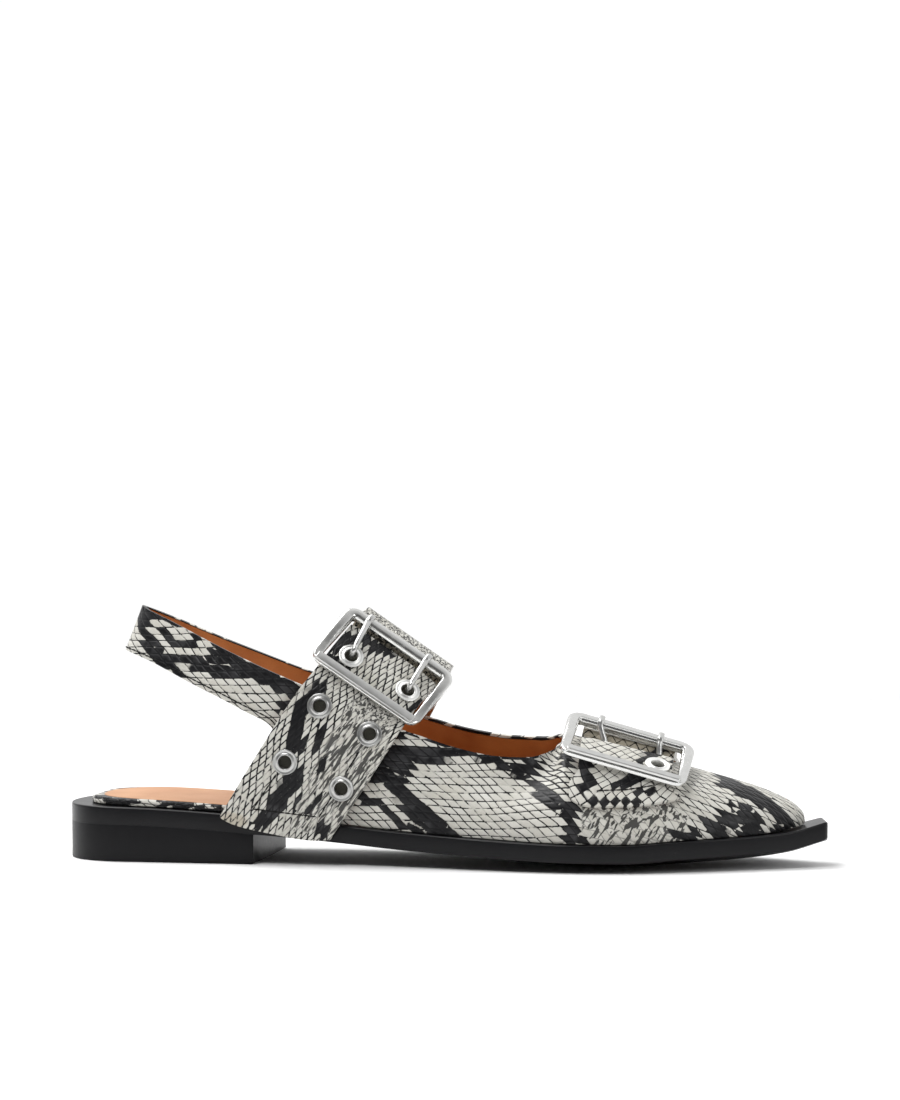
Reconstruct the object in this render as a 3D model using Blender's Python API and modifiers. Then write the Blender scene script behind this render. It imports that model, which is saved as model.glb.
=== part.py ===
"""Pointed toe slingback flat for the right foot, with a buckled strap over the instep and one over the toe.

Blender script, metres, +Z up. +X runs to the toe, -Y is the outer (lateral) side, +Y the inner (medial) side.
The tables below are in millimetres: "s" is the distance from the back of the heel along the shoe.
"""

import math

import bmesh
import bpy
import numpy as np
from mathutils import Matrix, Vector

MM = 0.001

# Driving dimensions, in millimetres
LENGTH = 276.0            # outsole, heel to toe tip
BALL_LATERAL = 40.0       # outsole half widths at the ball
BALL_MEDIAL = 38.0
HEEL_HALF = 28.0          # half width of the heel seat
HEEL_ROUND = 26.0         # length of the heel's rounded back
HEEL_POWER = 2.4          # squareness of the heel's rounded back
HEEL_LENGTH = 73.0        # heel block, back to breast
SOLE_THICKNESS = 6.4      # at the edges
SOLE_CHAMFER = 0.5
TIP_SKEW = 2.5            # the squared toe tip is cut back this much on the medial side
TIP_SKEW_LENGTH = 30.0
INSOLE_THICKNESS = 2.6
INSOLE_START = 7.5        # bare ledge of the sole behind the insole
INSOLE_ROUND = 26.0
UPPER_WALL = 1.8
STRAP_WALL = 2.0
GAP = 0.3                 # clearance between pieces that touch
MIDLINE = (BALL_LATERAL - BALL_MEDIAL) / 2   # puts the middle of the ball's width at Y = 0

# Buckles
BUCKLE_LENGTH = 47.0      # outside, along the bars
BAR_SPACING = 25.5        # between the middles of the two bars
BAR_WIDTH = 4.4
BAR_THICKNESS = 3.4
NEAR_BAR_WIDTH = 3.4      # the near bar is slimmer and low, with a flat plate over it
NEAR_BAR_THICKNESS = 1.7
BUCKLE_CORNER = 3.2       # radius at the middle of the bars
PLATE_LENGTH = 42.0
PLATE_WIDTH = 3.8
PLATE_THICKNESS = 1.5
PRONG_RADIUS = 1.1

# Eyelets
EYELET_RADIUS = 4.5
EYELET_HOLE = 2.4
EYELET_BARREL = 2.9
EYELET_RISE = 0.9
EYELET_SIDES = 12

KAPPA = 0.5523            # handle length that turns a cubic curve into a quarter ellipse


def table(columns, *rows):
    """A table as a dict of named columns."""
    return dict(zip(columns.split(), np.array(rows, float).T))


# Outsole: half widths, and the height of its underside along the edges and along the middle. The underside is
# crowned across the forefoot, where its middle is flat on the ground from s 187 to 207.
SOLE = table(
    "s lateral medial edge under",
    (0, HEEL_HALF, HEEL_HALF, 13.3, 13.3),
    (26, HEEL_HALF, HEEL_HALF, 13.1, 13.1),
    (48, 28.3, 27.9, 12.3, 12.3),
    (73, 28.6, 27.0, 10.6, 10.6),
    (100, 29.2, 25.6, 8.5, 8.2),
    (130, 32.0, 28.0, 6.0, 4.6),
    (158, 37.0, 33.5, 4.5, 1.7),
    (187, BALL_LATERAL, BALL_MEDIAL, 3.5, 0.0),
    (207, 38.0, 37.4, 3.3, 0.0),
    (225, 31.5, 33.4, 4.3, 1.1),
    (245, 22.0, 26.6, 5.2, 2.7),
    (262, 12.6, 19.0, 6.3, 5.0),
    (LENGTH, 4.5, 13.0, 9.8, 9.2),
)
CROWN_FLAT = 0.26         # share of the half width that the flat middle of the underside takes

# Insole: half widths, clear of the upper's wall from the waist forward
INSOLE = table(
    "s lateral medial",
    (7.5, 25.4, 25.4),
    (33.5, 25.4, 25.4),
    (58, 26.0, 25.0),
    (72, 22.8, 20.8),
    (100, 22.8, 19.8),
    (125, 26.2, 22.2),
    (145, 29.2, 25.4),
    (165, 32.6, 29.4),
    (185, 34.6, 32.6),
    (205, 32.6, 32.4),
    (225, 25.6, 27.8),
    (245, 15.6, 20.6),
    (257, 6.0, 13.2),
    (261, 1.0, 8.6),
)

# Upper: one row for each rib of the wall, from the toe's middle round to the back of the sling. A rib rises
# from its foot, "lift" above the sole, to its top, which lies on the ridge of the vamp and then on the top
# line, where top_lateral and top_medial are how far the top line stands from the ridge line, and medial_up is
# how much higher the medial side is there.
# The lean columns are degrees from upright, outward at the foot and inward at the top, and "facing" is how
# far the wall's outward direction turns from straight sideways to the toe.
UPPER = table(
    "foot_s foot_lateral foot_medial lift top_s ridge top_lateral top_medial"
    " top_z medial_up foot_lean top_lean facing",
    (267.4, -4.5, 4.5, 0.6, 260.8, 4.3, 0.0, 0.0, 23.0, 0.0, 4, 60, 90),
    (266.2, 0.2, 9.0, 0.6, 258.2, 4.2, 0.0, 0.0, 24.4, 0.0, 4, 70, 61),
    (262.6, 5.4, 13.4, 0.5, 254.6, 4.0, 0.0, 0.0, 26.1, 0.0, 5, 76, 41),
    (256.0, 12.2, 18.4, 0.3, 249.0, 3.6, 0.0, 0.0, 28.3, 0.0, 6, 80, 24),
    (245.0, 19.4, 24.0, 0.0, 240.0, 3.2, 0.0, 0.0, 30.9, 0.0, 7, 82, 13),
    (225.0, 29.0, 31.0, 0.0, 224.0, 2.4, 0.0, 0.0, 35.3, 0.0, 8, 83, 3),
    (207.0, 35.2, 35.0, 0.0, 207.5, 1.6, 0.0, 0.0, 39.6, 0.0, 8, 83, 0),
    (196.0, 37.2, 36.0, 0.0, 194.0, 1.0, 0.0, 0.0, 43.2, 0.0, 8, 82, 2),
    (187.0, 37.6, 35.8, 0.0, 182.0, 0.5, 0.0, 0.0, 46.2, 0.0, 8, 78, 3),
    (180.0, 37.2, 35.2, 0.0, 181.0, 0.4, 8.6, 8.6, 43.0, 2.2, 8, 58, 0),
    (171.0, 36.2, 33.8, 0.0, 177.0, 0.2, 16.8, 16.4, 40.3, 4.3, 8, 38, 0),
    (160.0, 34.6, 31.2, 0.0, 170.5, 0.0, 22.4, 21.4, 39.1, 4.3, 8, 22, 0),
    (147.0, 32.2, 28.4, 0.0, 160.0, 0.0, 25.6, 24.0, 39.7, 3.8, 8, 14, 0),
    (133.0, 29.8, 25.8, 0.0, 147.0, 0.0, 26.2, 24.6, 42.3, 2.8, 7, 10, 0),
    (118.0, 28.0, 24.0, 0.0, 133.0, 0.0, 26.0, 24.6, 46.6, 1.8, 7, 7, 0),
    (103.0, 27.0, 23.4, 0.0, 119.0, 0.0, 25.4, 24.6, 51.2, 1.6, 6, 5, 0),
    (89.0, 26.6, 23.8, 0.0, 106.5, 0.0, 25.2, 24.6, 56.8, 2.0, 5, 4, 0),
    (79.0, 26.4, 24.4, 0.0, 97.5, 0.0, 25.2, 24.6, 60.8, 0.8, 4, 4, 0),
    (79.6, 26.4, 25.4, 14.0, 93.0, 0.0, 25.2, 24.8, 62.8, 0.3, 3, 2, 0),
    (82.0, 26.4, 26.0, 25.5, 89.8, 0.0, 25.3, 25.0, 64.2, 0.0, 2, 0, 0),
    (79.2, 26.2, 26.0, 32.2, 86.0, 0.0, 25.2, 25.0, 65.8, -0.3, -2, 2, 0),
    (67.2, 24.4, 24.0, 37.7, 74.2, 0.0, 23.4, 23.0, 70.6, -0.8, -7, 7, -13),
    (47.9, 18.2, 18.2, 45.0, 54.2, 0.0, 16.4, 16.4, 79.0, -0.8, -12, 12, -21),
    (31.5, 11.0, 11.0, 51.5, 37.2, 0.0, 9.0, 9.0, 86.5, -0.4, -15, 15, -28),
    (21.6, 5.0, 5.0, 54.7, 27.9, 0.0, 4.0, 4.0, 90.2, 0.0, -18, 18, -48),
    (19.1, 0.0, 0.0, 55.2, 25.5, 0.0, 0.0, 0.0, 91.4, 0.0, -21, 21, -90),
)
THROAT_RIB = 8            # the row whose top is the front of the throat; ribs before it meet along the ridge
LAST_RIB = len(UPPER["lift"]) - 1
RIBS_PER_ROW = 2
STEPS_UP = 8

# Instep strap: its middle line as it goes over the foot, from the lateral foot (0) to the medial foot (1).
# "rise" is a share of the way from the foot of the middle line to its top. "slope" is the fall of the strap's
# width towards the toe, in degrees, and "wide" is its width.
INSTEP_FOOT = (81.6, 13.4)    # s and height of the middle line at rise 0
INSTEP_TOP = (124.6, 80.6)    # and at rise 1
INSTEP = table(
    "t across rise slope wide",
    (-0.03, -29.6, -0.050, 10.5, 41.0),
    (0.00, -29.9, 0.000, 10.5, 41.0),
    (0.12, -30.7, 0.200, 12.5, 41.0),
    (0.26, -30.7, 0.440, 16.0, 40.5),
    (0.36, -29.2, 0.600, 23.0, 39.0),
    (0.42, -26.2, 0.666, 31.0, 36.8),
    (0.46, -21.6, 0.727, 33.5, 36.0),
    (0.50, -16.6, 0.788, 34.5, 36.0),
    (0.58, -7.0, 0.884, 34.5, 36.0),
    (0.64, 0.0, 0.936, 34.5, 36.0),
    (0.70, 7.0, 0.955, 34.0, 35.8),
    (0.76, 15.5, 0.905, 31.5, 36.4),
    (0.82, 23.5, 0.785, 28.0, 37.5),
    (0.88, 28.2, 0.600, 22.0, 39.0),
    (0.94, 29.6, 0.330, 15.0, 40.5),
    (1.00, 27.8, 0.000, 10.5, 41.0),
)
INSTEP_FOOT_ROUND = 0.018     # how far the lateral foot's edge is rounded down past 0
INSTEP_NEAR_BAR = 0.418       # where along the strap each bar of the buckle crosses it
INSTEP_FAR_BAR = 0.622
INSTEP_TIP = 0.572            # the lateral strap's free end, just short of the far bar
INSTEP_TURN = 0.520           # the medial strap's end, under the lateral strap
INSTEP_LIFT_FROM = 0.430      # the lateral strap climbs over the medial one between these
INSTEP_LIFT_TO = 0.500
INSTEP_EYELETS = table(
    "t w",
    (0.188, 0.26),
    (0.156, 0.83),
    (0.352, 0.25),
    (0.330, 0.78),
    (0.490, 0.20),
    (0.500, 0.83),
)
TOE_EYELET = (-0.343, 0.875)  # q and w of the one eyelet that shows on the toe strap

# Toe strap: a band over the vamp between two ribs. "q" runs over a rib from the lateral foot (-1) to the
# medial foot (1).
TOE_REAR_RIB = 7.72
TOE_FRONT_RIB = 4.95
TOE_TAPER = 0.10              # share of the width that the strap loses on each side inside the buckle
TOE_END = -0.70               # rounded lateral end of the strap
TOE_END_ROUND = 0.07
TOE_END_SLANT = 0.11          # the end is shorter on the toe side
TOE_BUCKLE_DIP = 2.5          # degrees that the toe buckle noses down from the line of the ridge
TOE_NEAR_BAR = -0.465
TOE_FAR_BAR = -0.02
TOE_TIP = -0.187              # free end of the lateral strap
TOE_TURN = -0.085             # end of the medial strap
TOE_MEDIAL_END = 0.78
TOE_LIFT_FROM = -0.46         # the lateral strap climbs between these, to leave room for the prongs
TOE_LIFT_TO = -0.34

# The medial straps are turned back on themselves under the far bars
TURN_EXTRA = 2.0              # added thickness of the turned end
INSTEP_TURNED = (0.582, 0.600, 0.660, 0.740)
TOE_TURNED = (-0.075, -0.055, 0.070, 0.170)

# Extra room under the near and the far bar of each buckle, where the strap's face bows up to a straight bar
INSTEP_BUCKLE_EASE = (1.35, 0.95)
TOE_BUCKLE_EASE = (1.8, 1.2)
TOE_BUCKLE_MIDDLE = 0.54      # place of the toe buckle's middle on the strap's width


def smooth(data, key, column, at):
    """A column read at any place of the key column, on a curve that keeps the column's rises and falls."""
    x, y = data[key], data[column]
    step, slope = np.diff(x), np.diff(y) / np.diff(x)
    left, right = slope[:-1], slope[1:]
    w1, w2 = 2 * step[1:] + step[:-1], step[1:] + 2 * step[:-1]
    same = left * right > 0
    mean = w1 / np.where(same, left, 1) + w2 / np.where(same, right, 1)
    inner = np.where(same, (w1 + w2) / np.where(same, mean, 1), 0)
    tangent = np.concatenate([[slope[0]], inner, [slope[-1]]])
    at = np.asarray(at, float)
    i = np.clip(np.searchsorted(x, at) - 1, 0, len(step) - 1)
    u = np.clip((at - x[i]) / step[i], 0, 1)
    h = step[i]
    return (
        y[i] * (1 + 2 * u) * (1 - u) ** 2
        + h * tangent[i] * u * (1 - u) ** 2
        + y[i + 1] * u * u * (3 - 2 * u)
        + h * tangent[i + 1] * u * u * (u - 1)
    )


def ease(x, low, high):
    """0 below low, 1 above high, and a smooth step between."""
    u = np.clip((np.asarray(x, float) - low) / (high - low), 0, 1)
    return u * u * (3 - 2 * u)


def unit(v):
    return v / np.linalg.norm(v, axis=-1, keepdims=True)


def world(points):
    """Shoe points (s, y, z) in millimetres as world points in metres."""
    return (np.asarray(points, float) + (-LENGTH / 2, MIDLINE, 0)) * MM


# Blender objects


def clear_scene():
    for obj in list(bpy.data.objects):
        bpy.data.objects.remove(obj, do_unlink=True)


def collection(name):
    made = bpy.data.collections.new(name)
    bpy.context.scene.collection.children.link(made)
    return made


def finish_material(name, colour, roughness, metallic=0.0):
    material = bpy.data.materials.new(name)
    material.use_nodes = True
    shader = material.node_tree.nodes["Principled BSDF"]
    shader.inputs["Base Color"].default_value = (*colour, 1.0)
    shader.inputs["Roughness"].default_value = roughness
    shader.inputs["Metallic"].default_value = metallic
    return material


def add_object(name, bm, home, material=None):
    mesh = bpy.data.meshes.new(name)
    bm.to_mesh(mesh)
    bm.free()
    obj = bpy.data.objects.new(name, mesh)
    home.objects.link(obj)
    if material:
        mesh.materials.append(material)
        mesh.shade_smooth()
        mesh.set_sharp_from_angle(angle=math.radians(35))
    return obj


def loft(rings, around=False):
    """A closed solid through rings of shoe points, capped at both ends unless it goes all the way around."""
    bm = bmesh.new()
    loops = [[bm.verts.new(p) for p in world(ring)] for ring in rings]
    following = loops[1:] + (loops[:1] if around else [])
    for one, two in zip(loops, following):
        for i in range(len(one)):
            j = (i + 1) % len(one)
            bm.faces.new((one[i], one[j], two[j], two[i]))
    if not around:
        bm.faces.new(loops[0])
        bm.faces.new(loops[-1])
    bmesh.ops.recalc_face_normals(bm, faces=bm.faces)
    return bm


def shaped_grid(across, along, shape):
    """A grid whose vertices are placed by shape(x, y), with x and y from 0 to 1."""
    bm = bmesh.new()
    bmesh.ops.create_grid(bm, x_segments=across, y_segments=along, size=0.5)
    where = np.array([v.co for v in bm.verts]) + 0.5
    for vert, point in zip(bm.verts, world(shape(where[:, 0], where[:, 1]))):
        vert.co = point
    return bm


def thicken(obj, wall, offset):
    """Gives a sheet its wall, on the side of its normals for offset 1 and on the other for -1."""
    modifier = obj.modifiers.new("wall", "SOLIDIFY")
    modifier.thickness = wall * MM
    modifier.offset = offset
    return modifier


def cut(obj, cutter):
    modifier = obj.modifiers.new("cut", "BOOLEAN")
    modifier.operation = "DIFFERENCE"
    modifier.object = cutter
    cutter.hide_render = True
    cutter.display_type = "WIRE"


# Sole, heel and insole


def heel_rounding(s, start, length):
    """Share of the half width that the rounded back leaves at s."""
    u = np.clip((s - start) / length, 0.0, 1.0)
    return (1 - (1 - u) ** HEEL_POWER) ** (1 / HEEL_POWER)


def stations(data, start, end, per_span, round_length):
    """Places along the shoe: close together in the rounded heel, then per_span to each span of the table."""
    turn = start + round_length * (1 - np.cos(np.linspace(0.16, math.pi / 2, 11)))
    rows = [s for s in data["s"] if s > turn[-1] + 1 and s < end] + [end]
    spans = [np.linspace(a, b, per_span + 1)[1:] for a, b in zip([turn[-1]] + rows, rows)]
    return np.concatenate([turn, *spans])


def sole_half(side, s):
    """Half width of the sole on a side at s."""
    return smooth(SOLE, "s", side, s) * heel_rounding(s, 0.0, HEEL_ROUND)


def sole_under(s):
    return smooth(SOLE, "s", "under", s)


def sole_edge(s):
    return smooth(SOLE, "s", "edge", s)


def sole_top(s):
    return sole_edge(s) + SOLE_THICKNESS


def slab_ring(s, lateral, medial, low, high, chamfer, skew=0.0, middle=None):
    """Section of a slab across the shoe, with its four long edges chamfered. middle is the height of a
    crowned underside along the middle, where it isn't flat."""
    half = min(chamfer, lateral / 3, medial / 3)
    middle = low if middle is None else middle
    return [
        (s, -lateral + half, low),
        (s, -lateral, low + half),
        (s, -lateral, high - half),
        (s, -lateral + half, high),
        (s - skew, medial - half, high),
        (s - skew, medial, high - half),
        (s - skew, medial, low + half),
        (s - skew, medial - half, low),
        (s - skew, medial * (1 + CROWN_FLAT) / 2, low + (middle - low) * 0.5),
        (s - skew / 2, medial * CROWN_FLAT, middle),
        (s, -lateral * CROWN_FLAT, middle),
        (s, -lateral * (1 + CROWN_FLAT) / 2, low + (middle - low) * 0.5),
    ]


def build_outsole(home, material):
    rings = []
    for s in stations(SOLE, 0.0, LENGTH, 3, HEEL_ROUND):
        skew = TIP_SKEW * float(ease(s, LENGTH - TIP_SKEW_LENGTH, LENGTH))
        rings.append(
            slab_ring(
                s,
                sole_half("lateral", s),
                sole_half("medial", s),
                sole_edge(s),
                sole_top(s),
                SOLE_CHAMFER,
                skew,
                sole_under(s),
            )
        )
    rings[0] = [(0.0, y, z) for _, y, z in rings[0]]
    return add_object("outsole", loft(rings), home, material)


def build_heel(home, material):
    rings = []
    for s in stations(SOLE, 0.0, HEEL_LENGTH, 3, HEEL_ROUND):
        rings.append(
            slab_ring(
                s, sole_half("lateral", s), sole_half("medial", s), 0.0, sole_under(s) - GAP, SOLE_CHAMFER
            )
        )
    rings[0] = [(0.0, y, z) for _, y, z in rings[0]]
    return add_object("heel", loft(rings), home, material)


def build_insole(home, material):
    end = INSOLE["s"][-1]
    rings = []
    for s in stations(INSOLE, INSOLE_START, end, 2, INSOLE_ROUND):
        turn = heel_rounding(s, INSOLE_START, INSOLE_ROUND)
        low = sole_top(s) + GAP
        rings.append(
            slab_ring(
                s,
                smooth(INSOLE, "s", "lateral", s) * turn,
                smooth(INSOLE, "s", "medial", s) * turn,
                low,
                low + INSOLE_THICKNESS,
                SOLE_CHAMFER,
            )
        )
    return add_object("insole", loft(rings), home, material)


# Upper


def rib_column(name, rib):
    """A column of the upper's table at any rib. A mirrored row past each end keeps toe and back smooth."""
    other = {"lateral": "medial", "medial": "lateral"}
    stem, _, side = name.rpartition("_")
    ends = []
    for row, turn in ((1, 180.0), (LAST_RIB - 1, -180.0)):
        if side in other:
            ends.append(-UPPER[stem + "_" + other[side]][row])
        else:
            ends.append(turn - UPPER[name][row] if name == "facing" else UPPER[name][row])
    rows = {
        "rib": np.arange(-1.0, LAST_RIB + 2),
        "value": np.concatenate([ends[:1], UPPER[name], ends[1:]]),
    }
    return smooth(rows, "rib", "value", rib)


def upper_wall(rib, v, lateral):
    """Outer face of the upper at a rib and a share v of the way up it, on the lateral or the medial side."""
    v = v[:, None]

    def across(name, middle=0.0):
        out, into = -rib_column(name + "_lateral", rib), rib_column(name + "_medial", rib)
        return middle + np.where(lateral, out, into)

    foot_s, top_s = rib_column("foot_s", rib), rib_column("top_s", rib)
    lift = rib_column("lift", rib)
    medial_up = np.where(lateral, 0.0, rib_column("medial_up", rib))
    foot_z = sole_top(foot_s) + GAP + lift + medial_up * ease(lift, 10.0, 30.0)
    foot = np.stack([foot_s, across("foot"), foot_z], 1)
    top = np.stack([top_s, across("top", rib_column("ridge", rib)), rib_column("top_z", rib) + medial_up], 1)
    facing = np.radians(rib_column("facing", rib))
    out = np.stack([np.sin(facing), np.where(lateral, -1, 1) * np.cos(facing), 0 * facing], 1)
    chord = top - foot
    run = -np.sum(chord * out, axis=1, keepdims=True)
    climb = chord + run * out
    rise = np.linalg.norm(climb, axis=1, keepdims=True)
    up = climb / rise
    foot_lean = np.radians(rib_column("foot_lean", rib))[:, None]
    top_lean = np.radians(rib_column("top_lean", rib))[:, None]
    foot_handle = foot + KAPPA * rise * (up * np.cos(foot_lean) + out * np.sin(foot_lean))
    reach = KAPPA * (rise * np.cos(top_lean) + run * np.sin(top_lean))
    top_handle = top + reach * (out * np.sin(top_lean) - up * np.cos(top_lean))
    return (
        foot * (1 - v) ** 3
        + 3 * foot_handle * v * (1 - v) ** 2
        + 3 * top_handle * v * v * (1 - v)
        + top * v ** 3
    )


def upper_point(rib, q):
    """The same on the vamp, where q runs from the lateral foot (-1) over the ridge (0) to the medial foot."""
    rib, q = np.broadcast_arrays(np.asarray(rib, float), np.asarray(q, float))
    return upper_wall(rib, 1 - np.abs(q), q <= 0)


def upper_normal(rib, q):
    """Outward normal of the upper's face."""
    step = 0.01
    rib, q = np.broadcast_arrays(np.asarray(rib, float), np.asarray(q, float))
    along = upper_point(rib + step, q) - upper_point(rib - step, q)
    over = upper_point(rib, np.clip(q + step, -1, 1)) - upper_point(rib, np.clip(q - step, -1, 1))
    return unit(np.cross(over, along))


def upper_offset(rib, q, distance):
    return upper_point(rib, q) + upper_normal(rib, q) * np.asarray(distance, float)[..., None]


def build_upper(home, material):
    """One wall round the foot, along the lateral ribs to the back of the sling and forward along the medial.
    The two halves are joined along the ridge of the vamp, ahead of the throat, and open behind it."""
    count = 2 * LAST_RIB * RIBS_PER_ROW

    def shape(x, y):
        place = 2 * LAST_RIB * x
        rib = LAST_RIB - np.abs(place - LAST_RIB)
        return upper_wall(rib, y, place <= LAST_RIB)

    bm = shaped_grid(count, STEPS_UP, shape)
    seam = 0.02 * MM
    bmesh.ops.remove_doubles(bm, verts=bm.verts, dist=seam)
    obj = add_object("upper", bm, home, material)
    thicken(obj, UPPER_WALL, 1)
    return obj


# Instep strap


def instep_point(t, w, offset=0.0):
    """Inner face of the instep strap moved out by offset. w runs over the width, from its heel side (0) to
    its toe side (1)."""
    t, w = np.broadcast_arrays(np.asarray(t, float), np.asarray(w, float))
    rise = smooth(INSTEP, "t", "rise", t)
    foot, top = np.array(INSTEP_FOOT), np.array(INSTEP_TOP)
    middle = foot + (top - foot) * rise[:, None]
    slope = np.radians(smooth(INSTEP, "t", "slope", t))
    out = (w - 0.5) * smooth(INSTEP, "t", "wide", t)
    across = smooth(INSTEP, "t", "across", t)
    face = np.stack([middle[:, 0] + out * np.cos(slope), across, middle[:, 1] - out * np.sin(slope)], 1)
    if np.isscalar(offset) and offset == 0.0:
        return face
    return face + instep_normal(t, w) * np.broadcast_to(offset, t.shape)[:, None]


def instep_normal(t, w):
    step = 0.004
    along = instep_point(np.minimum(t + step, 1), w) - instep_point(np.maximum(t - step, -0.03), w)
    over = instep_point(t, w + step) - instep_point(t, w - step)
    return unit(np.cross(over, along))


def instep_lift(t):
    """How far the lateral strap stands off the inner face, to lie over the end of the medial strap."""
    return (STRAP_WALL + GAP) * ease(t, INSTEP_LIFT_FROM, INSTEP_LIFT_TO)


def turned_wall(at, span):
    """Thickness of a medial strap, doubled between the second and third place of span."""
    return STRAP_WALL + TURN_EXTRA * ease(at, span[0], span[1]) * (1 - ease(at, span[2], span[3]))


def solid_strap(name, home, material, along, across, inner, outer):
    """A strap between an inner and an outer face, both given as functions of (x, y) from 0 to 1."""
    bm = bmesh.new()
    for face in (inner, outer):
        part = shaped_grid(along, across, face)
        mesh = bpy.data.meshes.new("face")
        part.to_mesh(mesh)
        part.free()
        bm.from_mesh(mesh)
        bpy.data.meshes.remove(mesh)
    rims = [e for e in bm.edges if e.is_boundary]
    bmesh.ops.bridge_loops(bm, edges=rims)
    bmesh.ops.recalc_face_normals(bm, faces=bm.faces)
    return add_object(name, bm, home, material)


def build_instep_straps(home, material):
    def lateral(offset):
        def face(x, y):
            foot = -INSTEP_FOOT_ROUND * (1 - (2 * y - 1) ** 4)
            t = foot + (INSTEP_TIP - foot) * x
            return instep_point(t, y, instep_lift(t) + offset)
        return face

    def medial(offset):
        def face(x, y):
            t = INSTEP_TURN + (1 - INSTEP_TURN) * x
            return instep_point(t, y, offset * turned_wall(t, INSTEP_TURNED))
        return face

    return (
        solid_strap("instep_strap_lateral", home, material, 24, 4, lateral(0.0), lateral(STRAP_WALL)),
        solid_strap("instep_strap_medial", home, material, 26, 4, medial(0.0), medial(1.0)),
    )


# Toe strap


def toe_rib(w, q):
    """Rib under the toe strap at w of its width, from heel side (0) to toe side (1), and q of its length."""
    taper = TOE_TAPER * ease(q, TOE_NEAR_BAR - 0.16, TOE_NEAR_BAR) * (1 - ease(q, 0.25, 0.5))
    return TOE_REAR_RIB + (TOE_FRONT_RIB - TOE_REAR_RIB) * (w + taper * (1 - 2 * np.asarray(w)))


def toe_lift(q):
    """How far the lateral toe strap stands off the vamp, with room for the prongs under its free end."""
    return GAP + (2 * PRONG_RADIUS + GAP) * ease(q, TOE_LIFT_FROM, TOE_LIFT_TO)


def build_toe_straps(home, material):
    def lateral(offset):
        def face(x, y):
            end = TOE_END - TOE_END_ROUND * (1 - (2 * y - 1) ** 4) + TOE_END_SLANT * y ** 1.3
            q = end + (TOE_TIP - end) * x
            return upper_offset(toe_rib(y, q), q, toe_lift(q) + offset)
        return face

    def medial(offset):
        def face(x, y):
            q = TOE_TURN + (TOE_MEDIAL_END - TOE_TURN) * x
            return upper_offset(toe_rib(y, q), q, GAP + offset * turned_wall(q, TOE_TURNED))
        return face

    return (
        solid_strap("toe_strap_lateral", home, material, 18, 7, lateral(0.0), lateral(STRAP_WALL)),
        solid_strap("toe_strap_medial", home, material, 24, 7, medial(0.0), medial(1.0)),
    )


# Buckles


def buckle_frame_axes(near, far, along):
    """Middle of a buckle and its axes: along the bars, from near bar to far bar, and out of the strap."""
    second = unit(far - near)
    first = unit(along - second * (along @ second))
    return (near + far) / 2, first, second, np.cross(first, second)


def instep_buckle():
    rest = STRAP_WALL + GAP + BAR_THICKNESS / 2
    near = instep_point([INSTEP_NEAR_BAR], [0.5], rest + INSTEP_BUCKLE_EASE[0])[0]
    far = instep_point([INSTEP_FAR_BAR], [0.5], rest + TURN_EXTRA + INSTEP_BUCKLE_EASE[1])[0]
    middle = (INSTEP_NEAR_BAR + INSTEP_FAR_BAR) / 2
    along = instep_point([middle], [1.0])[0] - instep_point([middle], [0.0])[0]
    return buckle_frame_axes(near, far, along)


def toe_buckle():
    rib = toe_rib(TOE_BUCKLE_MIDDLE, TOE_FAR_BAR)
    rest = STRAP_WALL + GAP + BAR_THICKNESS / 2
    near = upper_offset([rib], [TOE_NEAR_BAR], [toe_lift(TOE_NEAR_BAR) + rest + TOE_BUCKLE_EASE[0]])[0]
    far = upper_offset([rib], [TOE_FAR_BAR], [GAP + rest + TURN_EXTRA + TOE_BUCKLE_EASE[1]])[0]
    front, rear = upper_point([TOE_FRONT_RIB, TOE_REAR_RIB], TOE_FAR_BAR)
    along = unit(front - rear)
    along = along - np.array([0.0, 0.0, math.tan(math.radians(TOE_BUCKLE_DIP))])
    return buckle_frame_axes(near, far, along)


def buckle_path():
    """Middle line of the frame's bars: (along, toward the far bar, outward direction, is it the near bar)."""
    half_a, half_b = (BUCKLE_LENGTH - BAR_WIDTH) / 2, BAR_SPACING / 2
    corner = BUCKLE_CORNER
    leg_end = corner - half_b + 1.2
    rows = []
    for quarter, (sign_a, sign_b) in enumerate(((1, 1), (-1, 1), (-1, -1), (1, -1))):
        if quarter == 2:
            rows.append((-half_a, leg_end, (-1.0, 0.0), False))
        for step in range(5):
            angle = math.pi / 2 * (quarter + step / 4)
            out = (math.cos(angle), math.sin(angle))
            centre = (sign_a * (half_a - corner), sign_b * (half_b - corner))
            rows.append((centre[0] + corner * out[0], centre[1] + corner * out[1], out, sign_b < 0))
    rows.append((half_a, leg_end, (1.0, 0.0), False))
    return rows


def build_buckle_frame(name, home, material, axes):
    """A rounded rectangular frame of bevelled bars, low at the near bar to take the plate."""
    middle, first, second, third = axes
    rings = []
    for a, b, out, near in buckle_path():
        wide = (NEAR_BAR_WIDTH if near else BAR_WIDTH) / 2
        low = -BAR_THICKNESS / 2
        high = low + (NEAR_BAR_THICKNESS if near else BAR_THICKNESS)
        bevel = 0.25 * (high - low)
        section = (
            (-wide, low + bevel), (-wide + bevel, low), (wide - bevel, low), (wide, low + bevel),
            (wide, high - bevel), (wide - 2 * bevel, high), (2 * bevel - wide, high), (-wide, high - bevel),
        )
        ring = []
        for across, height in section:
            ring.append(
                middle + first * (a + out[0] * across) + second * (b + out[1] * across) + third * height
            )
        rings.append(ring)
    return add_object(name, loft(rings, around=True), home, material)


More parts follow.
